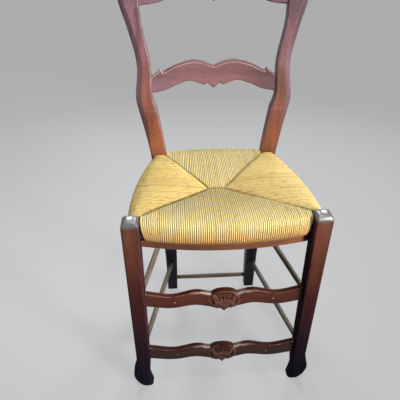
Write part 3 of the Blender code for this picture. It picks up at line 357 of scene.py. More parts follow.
def woodFinish(kind, way):
    look = {**plainLook, "edge": woodLooks[kind].get("worn"), **woodLooks[kind]}
    material, tree, shader = newFinish(kind + "Along" + way.upper())
    place = addNode(tree, "ShaderNodeTexCoord").outputs["Object"]
    normal = addNode(tree, "ShaderNodeNewGeometry").outputs["Normal"]
    wood = {"place": place, "spot": split(tree, place), "normal": normal, "facing": split(tree, normal)}
    for pattern in ("streaks", "pores", "boards"):
        wood[pattern] = grainNoise(tree, place, way, pattern)
    wood["hollow"] = addNode(tree, "ShaderNodeAmbientOcclusion", {"Distance": wear["hollowReach"]},
                             only_local=True, samples=wear["rays"]).outputs["AO"]
    tone = woodTone(tree, look, wood)
    colour = mixColours(tree, 1.0, tone, stainDepth(tree, look, wood), "MULTIPLY")
    feed(tree, shader["Base Color"], rubbedWood(tree, look, wood, colour))
    dull = look["gloss"] + grain["dulled"]
    feed(tree, shader["Roughness"], fit(tree, wood["streaks"], *grain["streakRange"], dull, look["gloss"]))
    shader["Specular IOR Level"].default_value = look["shine"]
    shader["Coat Weight"].default_value = look["coat"]
    shader["Coat Roughness"].default_value = look["coatRough"]
    shader["Coat IOR"].default_value = look["coatIndex"]
    if "polish" in look:  # hands have polished the leg tops
        low, high, full = look["polish"]
        feed(tree, shader["Coat Weight"], fit(tree, wood["spot"]["Z"], low, high, look["coat"], full))
    dips = fit(tree, wood["pores"], *grain["poreRange"], 0.0, grain["poreDip"])
    bump = addNode(tree, "ShaderNodeBump", {
        "Height": sums(tree, "SUBTRACT", wood["streaks"], dips),
        "Strength": grain["bump"], "Distance": grain["bumpDepth"]})
    feed(tree, shader["Normal"], bump.outputs["Normal"])
    return material


woodNodes = {
    ("walnutPost", "z"): ["back_post_left", "back_post_right"],
    ("walnutSlat", "x"): ["back_slat", "crest_rail"],
    ("walnutLeg", "z"): ["front_leg_left", "front_leg_right"],
    ("walnutApron", "x"): ["front_apron"],
    ("walnutCarved", "x"): ["front_stretcher_upper", "front_stretcher_lower"],
    ("frameBeech", "x"): ["front_seat_rail", "back_seat_rail"],
    ("frameBeech", "y"): ["side_seat_rail_left", "side_seat_rail_right"],
    ("pinWood", "y"): ["stretcher_pin_upper_left", "stretcher_pin_upper_right",
                       "stretcher_pin_lower_left", "stretcher_pin_lower_right"],
}
edgeSmoothing = {"joinGap": 0.00002, "sharpAngle": 24.0}


def smoothedTree():
    # joins the loose triangles of a solid and shades its curved faces smooth
    tree, given = newShapeTree("smoothedWood", {"Join Gap": "Float", "Sharp Angle": "Float"})
    plain = addNode(tree, "GeometryNodeRemoveAttribute", {
        "Geometry": given["Geometry"], "Name": "custom_normal"}).outputs[0]
    joined = addNode(tree, "GeometryNodeMergeByDistance", {
        "Geometry": plain, "Distance": given["Join Gap"]}).outputs[0]
    faces = addNode(tree, "GeometryNodeSetShadeSmooth", {
        "Geometry": joined, "Shade Smooth": True}, domain="FACE").outputs[0]
    turn = addNode(tree, "GeometryNodeInputMeshEdgeAngle").outputs["Unsigned Angle"]
    sharp = addNode(tree, "FunctionNodeCompare", {0: turn, 1: given["Sharp Angle"]},
                    data_type="FLOAT", operation="GREATER_THAN").outputs[0]
    edges = addNode(tree, "GeometryNodeSetShadeSmooth", {
        "Geometry": faces, "Selection": sharp, "Shade Smooth": False}, domain="EDGE").outputs[0]
    addNode(tree, "NodeGroupOutput", {"Geometry": edges})
    return tree


smoothing = smoothedTree()
for (kind, way), names in woodNodes.items():
    finish = woodFinish(kind, way)
    for name in names:
        solid = nodes[name]
        for slot in solid.material_slots:
            slot.material = finish
        step = solid.modifiers.new("smoothed", "NODES")
        step.node_group = smoothing
        setInputs(step, {"Join Gap": edgeSmoothing["joinGap"],
                         "Sharp Angle": math.radians(edgeSmoothing["sharpAngle"])})
        evened = solid.modifiers.new("evened", "WEIGHTED_NORMAL")  # broad faces stay flat beside narrow ones
        evened.keep_sharp = True
print("wood finished on", sum(len(names) for names in woodNodes.values()), "solids")


# Rush seat, in the frame whose y = 0 is the centre plane of the front legs

seat = {
    "height": 0.600, "fall": 0.020, "depth": 0.356, "backLine": 0.375, "frontReach": 0.02925,
    "legInner": 0.1968, "legCentre": 0.21723, "legHalf": 0.02044, "postCentre": 0.166, "postInner": 0.1442,
    "backBow": 0.012, "frontBack": 0.011, "frontBow": 0.024, "sideInset": 0.006, "sideBow": 0.015,
    "rollWidth": 0.0165, "rollHeight": 0.060, "rollSquare": 0.7, "dish": 0.012, "core": 0.024,
    "crown": 0.004, "fullness": 0.6, "middle": 0.165, "offset": -0.010, "bridge": 0.040,
}
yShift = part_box("rush_seat")[0].y + seat["frontReach"]
hubLeft = seat["offset"] - 0.5 * seat["bridge"]
hubRight = hubLeft + seat["bridge"]


def seatDrop(y):
    return seat["fall"] * clamp(y / seat["backLine"], 0.0, 1.0)


def frontLine(x):
    share = x / seat["legInner"]
    return seat["frontBack"] - seat["frontBow"] * (1.0 - share * share)


def backEdge(x):
    share = clamp(x / seat["postInner"], -1.0, 1.0)
    return seat["backLine"] + seat["backBow"] * (1.0 - share * share)


def sideLine(y):
    t = (y - seat["legHalf"]) / (seat["depth"] - seat["legHalf"])
    first = seat["legCentre"] - seat["sideInset"]
    return first + (seat["postCentre"] - first) * t + 4.0 * seat["sideBow"] * t * (1.0 - t)


frontCorner = sideLine(0.0)
backCorner = sideLine(seat["backLine"])
sideStart = frontLine(frontCorner)


def panelShares(panel, x, y):
    # how far a plan point lies from the weave's middle to the rail, and along it, settled in a few rounds
    middle, back = seat["middle"], seat["backLine"]
    s = t = 0.5
    if panel in ("front", "back"):
        corner, edge = (frontCorner, frontLine) if panel == "front" else (backCorner, backEdge)
        for _ in range(6):
            s = (middle - y) / (middle - edge(corner * (2.0 * t - 1.0)))
            wide = (1.0 - s) * seat["bridge"] + 2.0 * s * corner
            t = clamp((x - (1.0 - s) * hubLeft + s * corner) / wide, 0.0, 1.0)
    else:
        out = abs(x - (hubLeft if panel == "left" else hubRight))
        hub = hubRight if panel == "right" else -hubLeft
        at = y
        for _ in range(8):
            s = max(out / (sideLine(clamp(at, sideStart, back)) - hub), 0.001)
            at = clamp(middle + (y - middle) / s, sideStart, back)
        t = (at - sideStart) / (back - sideStart)
    return clamp(s, 0.0, 1.0), t


def seatLayers(panel, x, y):
    # heights of the upper and the lower rush over a plan point
    s, t = panelShares(panel, x, y)
    ease = s * s * (3.0 - 2.0 * s)
    swell = seat["crown"] * math.sin(math.pi * t) ** seat["fullness"] * 4.0 * s * (1.0 - s)
    rimY = {"front": frontLine(x), "back": backEdge(x)}.get(panel, y)
    rimTop = seat["height"] - seatDrop(rimY)
    hubTop = seat["height"] - seatDrop(seat["middle"]) - seat["dish"]
    top = hubTop + (rimTop - hubTop) * ease + swell
    rimLow = rimTop - seat["rollHeight"]
    hubLow = hubTop - seat["core"]
    return top, hubLow + (rimLow - hubLow) * ease


seams = {"front": (0.1958, 0.0212), "back": (0.1452, 0.3575)}  # x and y of the corners where the seams start


def seamPoint(panel, place):
    # where the strand at this place along the rail dives between two panels
    middle = seat["middle"]
    if panel in seams:
        cornerX, cornerY = seams[panel]
        if place < hubLeft:
            share = (place + cornerX) / (hubLeft + cornerX)
        elif place > hubRight:
            share = (cornerX - place) / (cornerX - hubRight)
        else:
            share = 1.0
        return Vector((place, cornerY + (middle - cornerY) * share))
    way, hub = (1.0, hubRight) if panel == "right" else (-1.0, hubLeft)
    cornerX, cornerY = seams["front" if place < middle else "back"]
    share = (place - cornerY) / (middle - cornerY)
    return Vector((way * cornerX + (hub - way * cornerX) * share, place))


def rimPoint(panel, place):
    if panel == "front":
        return Vector((place, frontLine(place)))
    if panel == "back":
        return Vector((place, backEdge(place)))
    return Vector(((1.0 if panel == "right" else -1.0) * sideLine(place), place))


# warm: share of gold straw; vary: how far single strands brown
panels = {
    "front": {"out": Vector((0.0, -1.0)), "span": (-0.1955, 0.1955),
              "strands": 82, "warm": 0.15, "vary": 0.16},
    "right": {"out": Vector((1.0, 0.0)), "span": (0.0222, 0.3550),
              "strands": 68, "warm": 0.7, "vary": 0.42},
    "back": {"out": Vector((0.0, 1.0)), "span": (-0.1430, 0.1430),
             "strands": 59, "warm": 0.28, "vary": 0.22},
    "left": {"out": Vector((-1.0, 0.0)), "span": (0.0222, 0.3550),
             "strands": 68, "warm": 0.85, "vary": 0.36},
}
weave = {
    "sides": 6, "seed": 41, "sink": 0.0024, "lap": 0.0012, "dive": 0.0058, "diveRun": 0.011, "runLimit": 0.45,
    "diveBend": (0.4, 0.32), "topSteps": 6, "underSteps": 3, "underStart": 0.3,
    "rollAngles": (68, 40, 14, -14, -42, -70), "cornerRun": 0.050, "cornerPull": 0.011,
    # the strand ends darken where they dive into the seams, painted shade
    "seamShades": (0.85, 0.32), "freeEnds": {0: 1.0, 1: 0.6},
    # ranges of the random differences between strands and along them
    "place": (-0.04, 0.04), "level": (-0.0002, 0.0003), "heat": (-0.15, 0.15), "wide": (0.98, 1.02),
    "start": (0.0, 0.1), "lumps": (0.975, 1.025),
}


def strandPath(panel, place, sink):
    # over the panel from its seam, round the rail and back underneath
    seam = seamPoint(panel, place)
    rim = rimPoint(panel, place)
    out = panels[panel]["out"]
    run = min(weave["diveRun"], weave["runLimit"] * (rim - seam).length)
    bendRun, bendDive = weave["diveBend"]
    points = []
    for forth, down in ((-weave["lap"], weave["dive"]), (bendRun * run, bendDive * weave["dive"])):
        at = seam + out * forth
        points.append((at.x, at.y, seatLayers(panel, at.x, at.y)[0] - sink - down))
    for k in range(weave["topSteps"]):
        at = (seam + out * run).lerp(rim, k / weave["topSteps"])
        points.append((at.x, at.y, seatLayers(panel, at.x, at.y)[0] - sink))
    rimTop = seat["height"] - seatDrop(rim.y)
    half = 0.5 * seat["rollHeight"]
    low, high = panels[panel]["span"]
    ends = 1.0 - min(place - low, high - place) / weave["cornerRun"]
    pull = weave["cornerPull"] * clamp(ends, 0.0, 1.0) ** 2
    inward = Vector((abs(out.y), abs(out.x))) * math.copysign(pull, 0.5 * (low + high) - place)
    for degrees in weave["rollAngles"]:
        turn = math.radians(degrees)
        lift = math.copysign(abs(math.sin(turn)) ** seat["rollSquare"], turn)
        at = rim + out * (seat["rollWidth"] - sink) * math.cos(turn) ** seat["rollSquare"]
        at = at + inward * (0.5 - 0.5 * lift) ** 2
        points.append((at.x, at.y, rimTop - half + (half - sink) * lift))
    for k in range(weave["underSteps"]):
        share = (k + weave["underStart"]) / weave["underSteps"]
        at = rim.lerp(seam + out * run, share) + inward * (1.0 - share)
        points.append((at.x, at.y, seatLayers(panel, at.x, at.y)[1] + sink))
    under = seatLayers(panel, seam.x, seam.y)[1]
    points.append((seam.x, seam.y, under + sink + 0.5 * weave["dive"]))
    return [Vector((x, y + yShift, z)) for x, y, z in points]


def strandPaths():
    dice = random.Random(weave["seed"])
    points, edges, across = [], [], []
    marks = {name: [] for name in ("thick", "shade", "warm", "tuck", "along", "strand", "free")}
    drawn = 0
    for panel, facts in panels.items():
        low, high = facts["span"]
        count = facts["strands"]
        pitch = (high - low) / count
        for k in range(count):
            place = low + (k + 0.5 + dice.uniform(*weave["place"])) * pitch
            path = strandPath(panel, place, weave["sink"] + dice.uniform(*weave["level"]))
            tone = facts["vary"] * dice.random() ** 2
            heat = clamp(facts["warm"] + dice.uniform(*weave["heat"]), 0.0, 1.0)
            wide = 0.5 * pitch * dice.uniform(*weave["wide"])
            far = dice.uniform(*weave["start"])
            loose = weave["freeEnds"].get(min(k, count - 1 - k), 0.0)
            start = len(points)
            drawn += 1
            for i, point in enumerate(path):
                if i:
                    edges.append((start + i - 1, start + i))
                    far += (point - path[i - 1]).length
                points.append(point)
                across.extend((facts["out"].y, facts["out"].x, 0.0))
                tuck = weave["seamShades"][i] if i < len(weave["seamShades"]) else 0.0
                values = (wide * dice.uniform(*weave["lumps"]), tone, heat, tuck, far, float(drawn), loose)
                for row, value in zip(marks.values(), values):
                    row.append(value)
    mesh = bpy.data.meshes.new("rushPaths")
    mesh.from_pydata(points, edges, [])
    setMarks(mesh, marks)
    setArrows(mesh, {"across": across})
    return mesh


def strandTree():
    # turns paths with a thickness at each point into round strands
    tree, given = newShapeTree("rushStrands", {"Sides": "Int", "Finish": "Material"})
    paths = addNode(tree, "GeometryNodeMeshToCurve", {"Mesh": given["Geometry"]}).outputs[0]
    ring = addNode(tree, "GeometryNodeCurvePrimitiveCircle", {
        "Resolution": given["Sides"], "Radius": 1.0}).outputs[0]
    spot = addNode(tree, "GeometryNodeInputPosition").outputs[0]
    ring = stored(tree, ring, "turn", spot, "FLOAT_VECTOR")
    paths = stored(tree, paths, "core", spot, "FLOAT_VECTOR")
    thick = named(tree, "thick", "FLOAT")
    tubes = addNode(tree, "GeometryNodeCurveToMesh", {
        "Curve": paths, "Profile Curve": ring, "Scale": thick, "Fill Caps": True}).outputs[0]
    # how far each point of a strand lies towards its neighbours, 0 on the ridge and 1 on the flank
    offset = addNode(tree, "ShaderNodeVectorMath", {
        0: spot, 1: named(tree, "core", "FLOAT_VECTOR")}, operation="SUBTRACT").outputs[0]
    sideways = addNode(tree, "ShaderNodeVectorMath", {
        0: offset, 1: named(tree, "across", "FLOAT_VECTOR")}, operation="DOT_PRODUCT").outputs["Value"]
    flank = sums(tree, "DIVIDE", sums(tree, "ABSOLUTE", sideways), thick)
    tubes = stored(tree, tubes, "flank", flank, "FLOAT")
    smooth = addNode(tree, "GeometryNodeSetShadeSmooth", {"Geometry": tubes}, domain="FACE").outputs[0]
    real = addNode(tree, "GeometryNodeRealizeInstances", {"Geometry": smooth}).outputs[0]
    dressed = addNode(tree, "GeometryNodeSetMaterial", {
        "Geometry": real, "Material": given["Finish"]}).outputs[0]
    addNode(tree, "NodeGroupOutput", {"Geometry": dressed})
    return tree


rushLook = {
    "pale": (0.90, 0.81, 0.38), "gold": (0.83, 0.63, 0.19), "brown": (0.50, 0.30, 0.11),
    "patches": 32.0, "patchRange": (0.50, 0.75), "patchShare": 0.3,
    "fibres": 260.0, "fibreRange": (0.45, 0.75), "fibreShare": 0.35,
    "rubbed": (0.86, 0.42, 0.12), "rubbedFrom": 0.588, "rubbedTo": 0.556, "rubbedShare": 0.95,
    "rubbedFlank": (0.15, 0.6, 0.28, 1.0),
    "dashes": (55.0, 7.3), "dashRange": (0.53, 0.66), "dashShare": 0.7, "dashWarm": (0.1, 0.7, 0.35, 1.0),
    "twist": 0.0075, "plyRange": (-0.55, -0.98), "plyShare": 0.16,
    "grooveShade": (0.15, 0.075, 0.022), "grooveFrom": 0.50, "grooveFull": 0.9, "grooveShare": 0.88,
    "rough": 0.5, "shine": 0.3, "bump": 0.3, "bumpDepth": 0.0005,
}


def rushFinish():
    material, tree, shader = newFinish("twistedRush")
    place = addNode(tree, "ShaderNodeTexCoord").outputs["Object"]
    spot = split(tree, place)
    gold, brown = rushLook["gold"], rushLook["brown"]
    warm, along, flank = mark(tree, "warm"), mark(tree, "along"), mark(tree, "flank")
    patches = noise(tree, place, rushLook["patches"])
    fibres = noise(tree, place, rushLook["fibres"])
    colour = mixColours(tree, warm, rushLook["pale"], gold)
    colour = mixColours(tree, fit(tree, patches, *rushLook["patchRange"], 0.0, rushLook["patchShare"]),
                        colour, gold)
    # the lower half of the rolled edges is browner, at heights as if the seat were level
    fall = fit(tree, spot["Y"], yShift, yShift + seat["backLine"], 0.0, seat["fall"])
    low = fit(tree, sums(tree, "ADD", spot["Z"], fall), rushLook["rubbedFrom"], rushLook["rubbedTo"],
              0.0, rushLook["rubbedShare"])
    low = product(tree, low, fit(tree, flank, *rushLook["rubbedFlank"]))
    colour = mixColours(tree, low, colour, rushLook["rubbed"])
    colour = mixColours(tree, mark(tree, "shade"), colour, brown)
    # each strand browns in dashes of its own
    alongDash, acrossDash = rushLook["dashes"]
    dash = addNode(tree, "ShaderNodeCombineXYZ", {
        "X": product(tree, along, alongDash),
        "Y": product(tree, mark(tree, "strand"), acrossDash)}).outputs[0]
    dashes = fit(tree, noise(tree, dash, 1.0, 2.0), *rushLook["dashRange"], 0.0, rushLook["dashShare"])
    dashes = product(tree, dashes, fit(tree, warm, *rushLook["dashWarm"]))
    colour = mixColours(tree, dashes, colour, brown)
    # a darker ply winds round the strand
    turn = split(tree, mark(tree, "turn", "Vector"))
    angle = product(tree, along, 2.0 * math.pi / rushLook["twist"])
    ply = sums(tree, "SUBTRACT", product(tree, turn["X"], sums(tree, "COSINE", angle)),
               product(tree, turn["Y"], sums(tree, "SINE", angle)))
    colour = mixColours(tree, fit(tree, ply, *rushLook["plyRange"], 0.0, rushLook["plyShare"]), colour, brown)
    colour = mixColours(tree, fit(tree, fibres, *rushLook["fibreRange"], 0.0, rushLook["fibreShare"]),
                        colour, brown)
    # painted shade on the sides where strands press together, and at the ends where they dive into the seams
    pressedShade = fit(tree, flank, rushLook["grooveFrom"], rushLook["grooveFull"], 0.0, rushLook["grooveShare"])
    pressedShade = product(tree, pressedShade, fit(tree, mark(tree, "free"), 0.0, 1.0, 1.0, 0.0))
    colour = mixColours(tree, sums(tree, "MAXIMUM", pressedShade, mark(tree, "tuck")), colour, rushLook["grooveShade"])
    feed(tree, shader["Base Color"], colour)
    shader["Roughness"].default_value = rushLook["rough"]
    shader["Specular IOR Level"].default_value = rushLook["shine"]
    bump = addNode(tree, "ShaderNodeBump", {
        "Height": sums(tree, "ADD", ply, fibres),
        "Strength": rushLook["bump"], "Distance": rushLook["bumpDepth"]})
    feed(tree, shader["Normal"], bump.outputs["Normal"])
    return material


tubing = strandTree()
rushStrands = addShaped("rushStrands", strandPaths(), tubing,
                        {"Sides": weave["sides"], "Finish": rushFinish()})
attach(rushStrands, "root")
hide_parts("rush_seat")
print("rush woven:", sum(facts["strands"] for facts in panels.values()), "strands,",
      len(rushStrands.data.polygons), "faces")


packing = {"slices": 24, "sink": 0.0048, "inset": 0.25, "dark": (0.10, 0.06, 0.022),
           "straw": (0.24, 0.155, 0.06), "fibres": 120.0, "rough": 0.85}


def packingFinish():
    material, tree, shader = newFinish("rushPacking")
    place = addNode(tree, "ShaderNodeTexCoord").outputs["Object"]
    fibres = noise(tree, place, packing["fibres"], 4.0)
    feed(tree, shader["Base Color"], mixColours(tree, fibres, packing["dark"], packing["straw"]))
    shader["Roughness"].default_value = packing["rough"]
    return material


def addPacking(panel, finish):
    # the straw under one panel, a closed wedge just below its strands
    low, high = panels[panel]["span"]
    count, inset = packing["slices"], packing["inset"]
    places = [low + (high - low) * (k + inset) / (count + 2.0 * inset) for k in range(count + 1)]
    rings = [strandPath(panel, place, packing["sink"]) for place in places]
    size = len(rings[0])
    faces = []
    for k in range(count):
        for i in range(size):
            j = (i + 1) % size
            faces.append((k * size + i, k * size + j, (k + 1) * size + j, (k + 1) * size + i))
    faces.append(tuple(range(size))[::-1])
    faces.append(tuple(count * size + i for i in range(size)))
    mesh = bpy.data.meshes.new("rushPacking_" + panel)
    mesh.from_pydata([point for ring in rings for point in ring], [], faces)
    if panel in ("left", "back"):  # these run the other way round
        mesh.flip_normals()
    mesh.materials.append(finish)
    piece = addPiece(mesh.name, mesh)
    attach(piece, "root")
    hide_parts("seat_stuffing_" + panel)


straw = packingFinish()
for panel in panels:
    addPacking(panel, straw)
print("packing laid under the rush")


# Turned rungs, a little fuller than their solids and on the same axes

rungs = {
    "upper_left": ("side_rung_upper_left", "y"), "upper_right": ("side_rung_upper_right", "y"),
    "lower_left": ("side_rung_lower_left", "y"), "lower_right": ("side_rung_lower_right", "y"),
    "back": ("back_rung", "x"),
}
rungShape = {"sides": 16, "steps": 12, "ringGap": 0.004, "tenon": 0.0053, "shoulder": 0.0070, "belly": 0.0080,
             "letIn": 0.002, "shoulderStep": 0.0005}


def ringMiddles(name, way):
    # middle points of the rings that a turned solid is made of, from end to end
    axis = "xyz".index(way)
    spots = sorted({tuple(corner.co) for corner in nodes[name].data.vertices}, key=lambda spot: spot[axis])
    rings = [[spots[0]]]
    for before, spot in zip(spots, spots[1:]):
        if spot[axis] - before[axis] > rungShape["ringGap"]:
            rings.append([])
        rings[-1].append(spot)
    return [sum((Vector(spot) for spot in ring), Vector()) / len(ring) for ring in rings]


def addRung(label, name, way, finish):
    middles = ringMiddles(name, way)
    along = (middles[-1] - middles[0]).normalized()
    first = middles[1] - rungShape["letIn"] * along
    last = middles[-2] + rungShape["letIn"] * along
    tenons = [rungShape["tenon"]] * 2
    points, thick = [middles[0], first - rungShape["shoulderStep"] * along], list(tenons)
    for k in range(rungShape["steps"] + 1):
        share = k / rungShape["steps"]
        points.append(first.lerp(last, share))
        swell = (rungShape["belly"] - rungShape["shoulder"]) * math.sin(math.pi * share)
        thick.append(rungShape["shoulder"] + swell)
    points += [last + rungShape["shoulderStep"] * along, middles[-1]]
    mesh = bpy.data.meshes.new("turnedRung_" + label)
    mesh.from_pydata(points, [(k, k + 1) for k in range(len(points) - 1)], [])
    setMarks(mesh, {"thick": thick + tenons})
    piece = addShaped(mesh.name, mesh, tubing, {"Sides": rungShape["sides"], "Finish": finish})
    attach(piece, "root")
    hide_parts(name)


dowelFinishes = {"y": woodFinish("paleDowel", "y"), "x": woodFinish("backDowel", "x")}
for label, (name, way) in rungs.items():
    addRung(label, name, way, dowelFinishes[way])
print("rungs turned:", len(rungs))


# Carved leaves and scrolls of the front stretchers, laid out in millimetres on the face of the cartouche

millimetre = 0.001
carving = {
    "root": 14.0, "sunk": 0.5, "bossHalf": 35.0, "bossDepth": 6.3, "tilt": 30.0,
    # fans of leaves: turn from upright to the last one, where they start, lengths in the middle and aside
    "fans": [{"count": 7, "turn": 44.0, "start": 17.0, "lengths": (29.0, 25.0), "width": 8.4, "relief": 2.5},
             {"count": 5, "turn": 40.0, "start": 4.0, "lengths": (20.0, 16.0), "width": 7.4, "relief": 3.0}],
    # single leaves on the right: x, z, turn, length, width, relief
    "leaves": [(34.0, 28.0, 118.0, 8.5, 6.0, 2.6), (36.0, 38.0, 90.0, 7.5, 6.0, 2.6),
               (34.5, 48.0, 62.0, 8.5, 6.0, 2.6), (20.0, 40.0, 40.0, 12.0, 6.0, 2.2),
               (11.0, 18.0, 100.0, 11.0, 6.0, 2.4)],
    "drop": (0.0, 19.0, 180.0, 14.5, 9.0, 2.8),
}
# curls: x, z and reach of the lower and the upper one
scroll = {"low": (25.0, 24.5, 6.5), "high": (27.5, 52.5, 6.0), "bulge": 10.0, "turns": 1.25, "eye": 1.3,
          "thin": 1.0, "thick": 1.8, "steps": 16, "sides": 8, "sunk": -0.3, "ridge": 0.8}
leaf = {"around": 12, "rows": 8, "outline": (0.72, 0.85), "profile": (0.85, 0.6), "round": 0.7, "curl": 0.3,
        "vein": 0.45, "veinWidth": 0.28, "belly": 0.35, "sunk": 0.1, "tip": 0.05, "tipRidge": 0.4}


def leafShape():
    # one leaf a unit long, wide and high, with a vein down its middle
    around, rows = leaf["around"], leaf["rows"]
    points, faces, ridge = [(0.0, 0.0, -leaf["sunk"])], [], [0.0]
    for i in range(1, rows):
        t = 0.5 - 0.5 * math.cos(math.pi * i / rows)
        wide, high = (math.sin(math.pi * t ** lean) ** power
                      for lean, power in (leaf["outline"], leaf["profile"]))
        for j in range(around):
            turn = 2.0 * math.pi * j / around
            across, lift = math.cos(turn), math.sin(turn)
            if lift > 0.001:
                vein = 1.0 - leaf["vein"] * math.exp(-(across / leaf["veinWidth"]) ** 2)
                z = high * lift ** leaf["round"] * vein + leaf["curl"] * t * t * lift
            else:
                z = leaf["belly"] * lift - leaf["sunk"]
            points.append((t, 0.5 * wide * across, z))
            ridge.append(clamp(z, 0.0, 1.0))
    points.append((1.0, 0.0, leaf["tip"]))
    ridge.append(leaf["tipRidge"])
    last = len(points) - 1
    for j in range(around):
        k = (j + 1) % around
        faces.append((0, 1 + k, 1 + j))
        faces.append((last, last - around + j, last - around + k))
        for i in range(rows - 2):
            first = 1 + i * around
            faces.append((first + j, first + k, first + around + k, first + around + j))
    mesh = bpy.data.meshes.new("carvedLeaf")
    mesh.from_pydata(points, [], faces)
    setMarks(mesh, {"ridge": ridge})
    return bpy.data.objects.new("carvedLeaf", mesh)


def leafTree():
    # sets a leaf on each point by its own turn and size
    tree, given = newShapeTree("carvedLeaves", {"Leaf": "Object", "Finish": "Material"})
    single = addNode(tree, "GeometryNodeObjectInfo", {"Object": given["Leaf"]}).outputs["Geometry"]
    leaves = addNode(tree, "GeometryNodeInstanceOnPoints", {
        "Points": given["Geometry"], "Instance": single, "Rotation": named(tree, "turn", "FLOAT_VECTOR"),
        "Scale": named(tree, "size", "FLOAT_VECTOR")}).outputs[0]
    real = addNode(tree, "GeometryNodeRealizeInstances", {"Geometry": leaves}).outputs[0]
    smooth = addNode(tree, "GeometryNodeSetShadeSmooth", {"Geometry": real}, domain="FACE").outputs[0]
    dressed = addNode(tree, "GeometryNodeSetMaterial", {
        "Geometry": smooth, "Material": given["Finish"]}).outputs[0]
    addNode(tree, "NodeGroupOutput", {"Geometry": dressed})
    return tree


def bossDepth(x):
    share = min(abs(x) / carving["bossHalf"], 1.0)
    return carving["bossDepth"] * (1.0 - math.sqrt(1.0 - share * share))


def leafPlaces():
    # x, z, turn, length, width and relief of every leaf
    places = [carving["drop"]]
    for fan in carving["fans"]:
        middle, side = fan["lengths"]
        for k in range(fan["count"]):
            share = 2.0 * k / (fan["count"] - 1) - 1.0
            turn = math.radians(fan["turn"] * share)
            places.append((fan["start"] * math.sin(turn), carving["root"] + fan["start"] * math.cos(turn),
                           fan["turn"] * share, middle + (side - middle) * abs(share),
                           fan["width"], fan["relief"]))
    for x, z, turn, *shape in carving["leaves"]:
        places += [(x, z, turn, *shape), (-x, z, -turn, *shape)]
    return places


def scrollPath(way):
    # a C scroll from the eye of its lower curl to the eye of its upper one
    points, thick = [], []
    steps, curl = scroll["steps"], 2.0 * math.pi * scroll["turns"]

    def addCurl(middleX, middleZ, reach, turn, share):
        far = scroll["eye"] + (reach - scroll["eye"]) * share
        points.append((middleX + far * math.cos(turn), middleZ + far * math.sin(turn)))
        thick.append(scroll["thin"] + (scroll["thick"] - scroll["thin"]) * share)

    for k in range(steps):
        share = k / steps
        addCurl(*scroll["low"], -0.5 * math.pi - curl * (1.0 - share), share)
    lowX, lowZ, lowReach = scroll["low"]
    highX, highZ, highReach = scroll["high"]
    low, high = lowZ - lowReach, highZ + highReach
    for k in range(steps + 1):
        turn = math.pi * (k / steps - 0.5)
        x = lowX + (highX - lowX) * k / steps
        z = 0.5 * (low + high) + 0.5 * (high - low) * math.sin(turn)
        points.append((x + scroll["bulge"] * math.cos(turn), z))
        thick.append(scroll["thick"])
    for k in range(1, steps + 1):
        share = 1.0 - k / steps
        addCurl(*scroll["high"], 0.5 * math.pi + curl * (1.0 - share), share)
    return [(way * x, z) for x, z in points], thick


def leafMesh(name, low, onFace):
    spots, turns, leafSizes = [], [], []
    for x, z, degrees, length, width, relief in leafPlaces():
        turn = math.radians(degrees)
        middle = x + 0.5 * length * math.sin(turn)
        lean = math.degrees(math.atan2(bossDepth(middle + 0.5) - bossDepth(middle - 0.5), 1.0))
        lean = math.radians(clamp(lean, -carving["tilt"], carving["tilt"]))
        out = Vector((math.sin(lean), -math.cos(lean), 0.0))
        along = Vector((math.sin(turn), 0.0, math.cos(turn)))
        along = (along - out * along.dot(out)).normalized()
        spots.append(onFace(middle, z, carving["sunk"]) - 0.5 * millimetre * length * along)
        spots[-1].z = low.z + millimetre * z
        turns.extend(Matrix((along, out.cross(along), out)).transposed().to_euler())
        leafSizes.extend((millimetre * length, millimetre * width, millimetre * relief))
    mesh = bpy.data.meshes.new(name)
    mesh.from_pydata(spots, [], [])
    setArrows(mesh, {"turn": turns, "size": leafSizes})
    return mesh


def scrollMesh(name, onFace):
    points, edges, thick = [], [], []
    for way in (1.0, -1.0):
        path, widths = scrollPath(way)
        start = len(points)
        points += [onFace(x, z, scroll["sunk"]) for x, z in path]
        edges += [(start + k, start + k + 1) for k in range(len(path) - 1)]
        thick += [millimetre * wide for wide in widths]
    mesh = bpy.data.meshes.new(name)
    mesh.from_pydata(points, edges, [])
    setMarks(mesh, {"thick": thick, "ridge": [scroll["ridge"]] * len(points)})
    return mesh


def addCarving(level, finish):
    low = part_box("front_stretcher_" + level)[0]

    def onFace(x, z, sunk):
        return Vector((millimetre * x, low.y + millimetre * (bossDepth(x) + sunk), low.z + millimetre * z))

    leaves = leafMesh("leafCarving_" + level, low, onFace)
    scrolls = scrollMesh("scrollCarving_" + level, onFace)
    for mesh, tree, inputs in ((leaves, leafing, {"Leaf": carvedLeaf, "Finish": finish}),
                               (scrolls, tubing, {"Sides": scroll["sides"], "Finish": finish})):
        piece = addShaped(mesh.name, mesh, tree, inputs)
        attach(piece, "root")
        print("carved:", piece.name, len(piece.data.polygons), "faces")


carvedLeaf = leafShape()
leafing = leafTree()
leafFinish = woodFinish("walnutLeaf", "x")
for level in ("upper", "lower"):
    addCarving(level, leafFinish)
bpy.data.objects.remove(carvedLeaf)


# Floor, light and camera

floorLook = {"half": 14.0, "pale": (0.74, 0.735, 0.73), "bounce": (0.06, 0.06, 0.07), "glow": 0.55}


def seenDirectly(tree):
    rays = addNode(tree, "ShaderNodeLightPath").outputs
    return sums(tree, "MAXIMUM", rays["Is Camera Ray"],
                sums(tree, "MAXIMUM", rays["Is Glossy Ray"], rays["Is Transmission Ray"]))


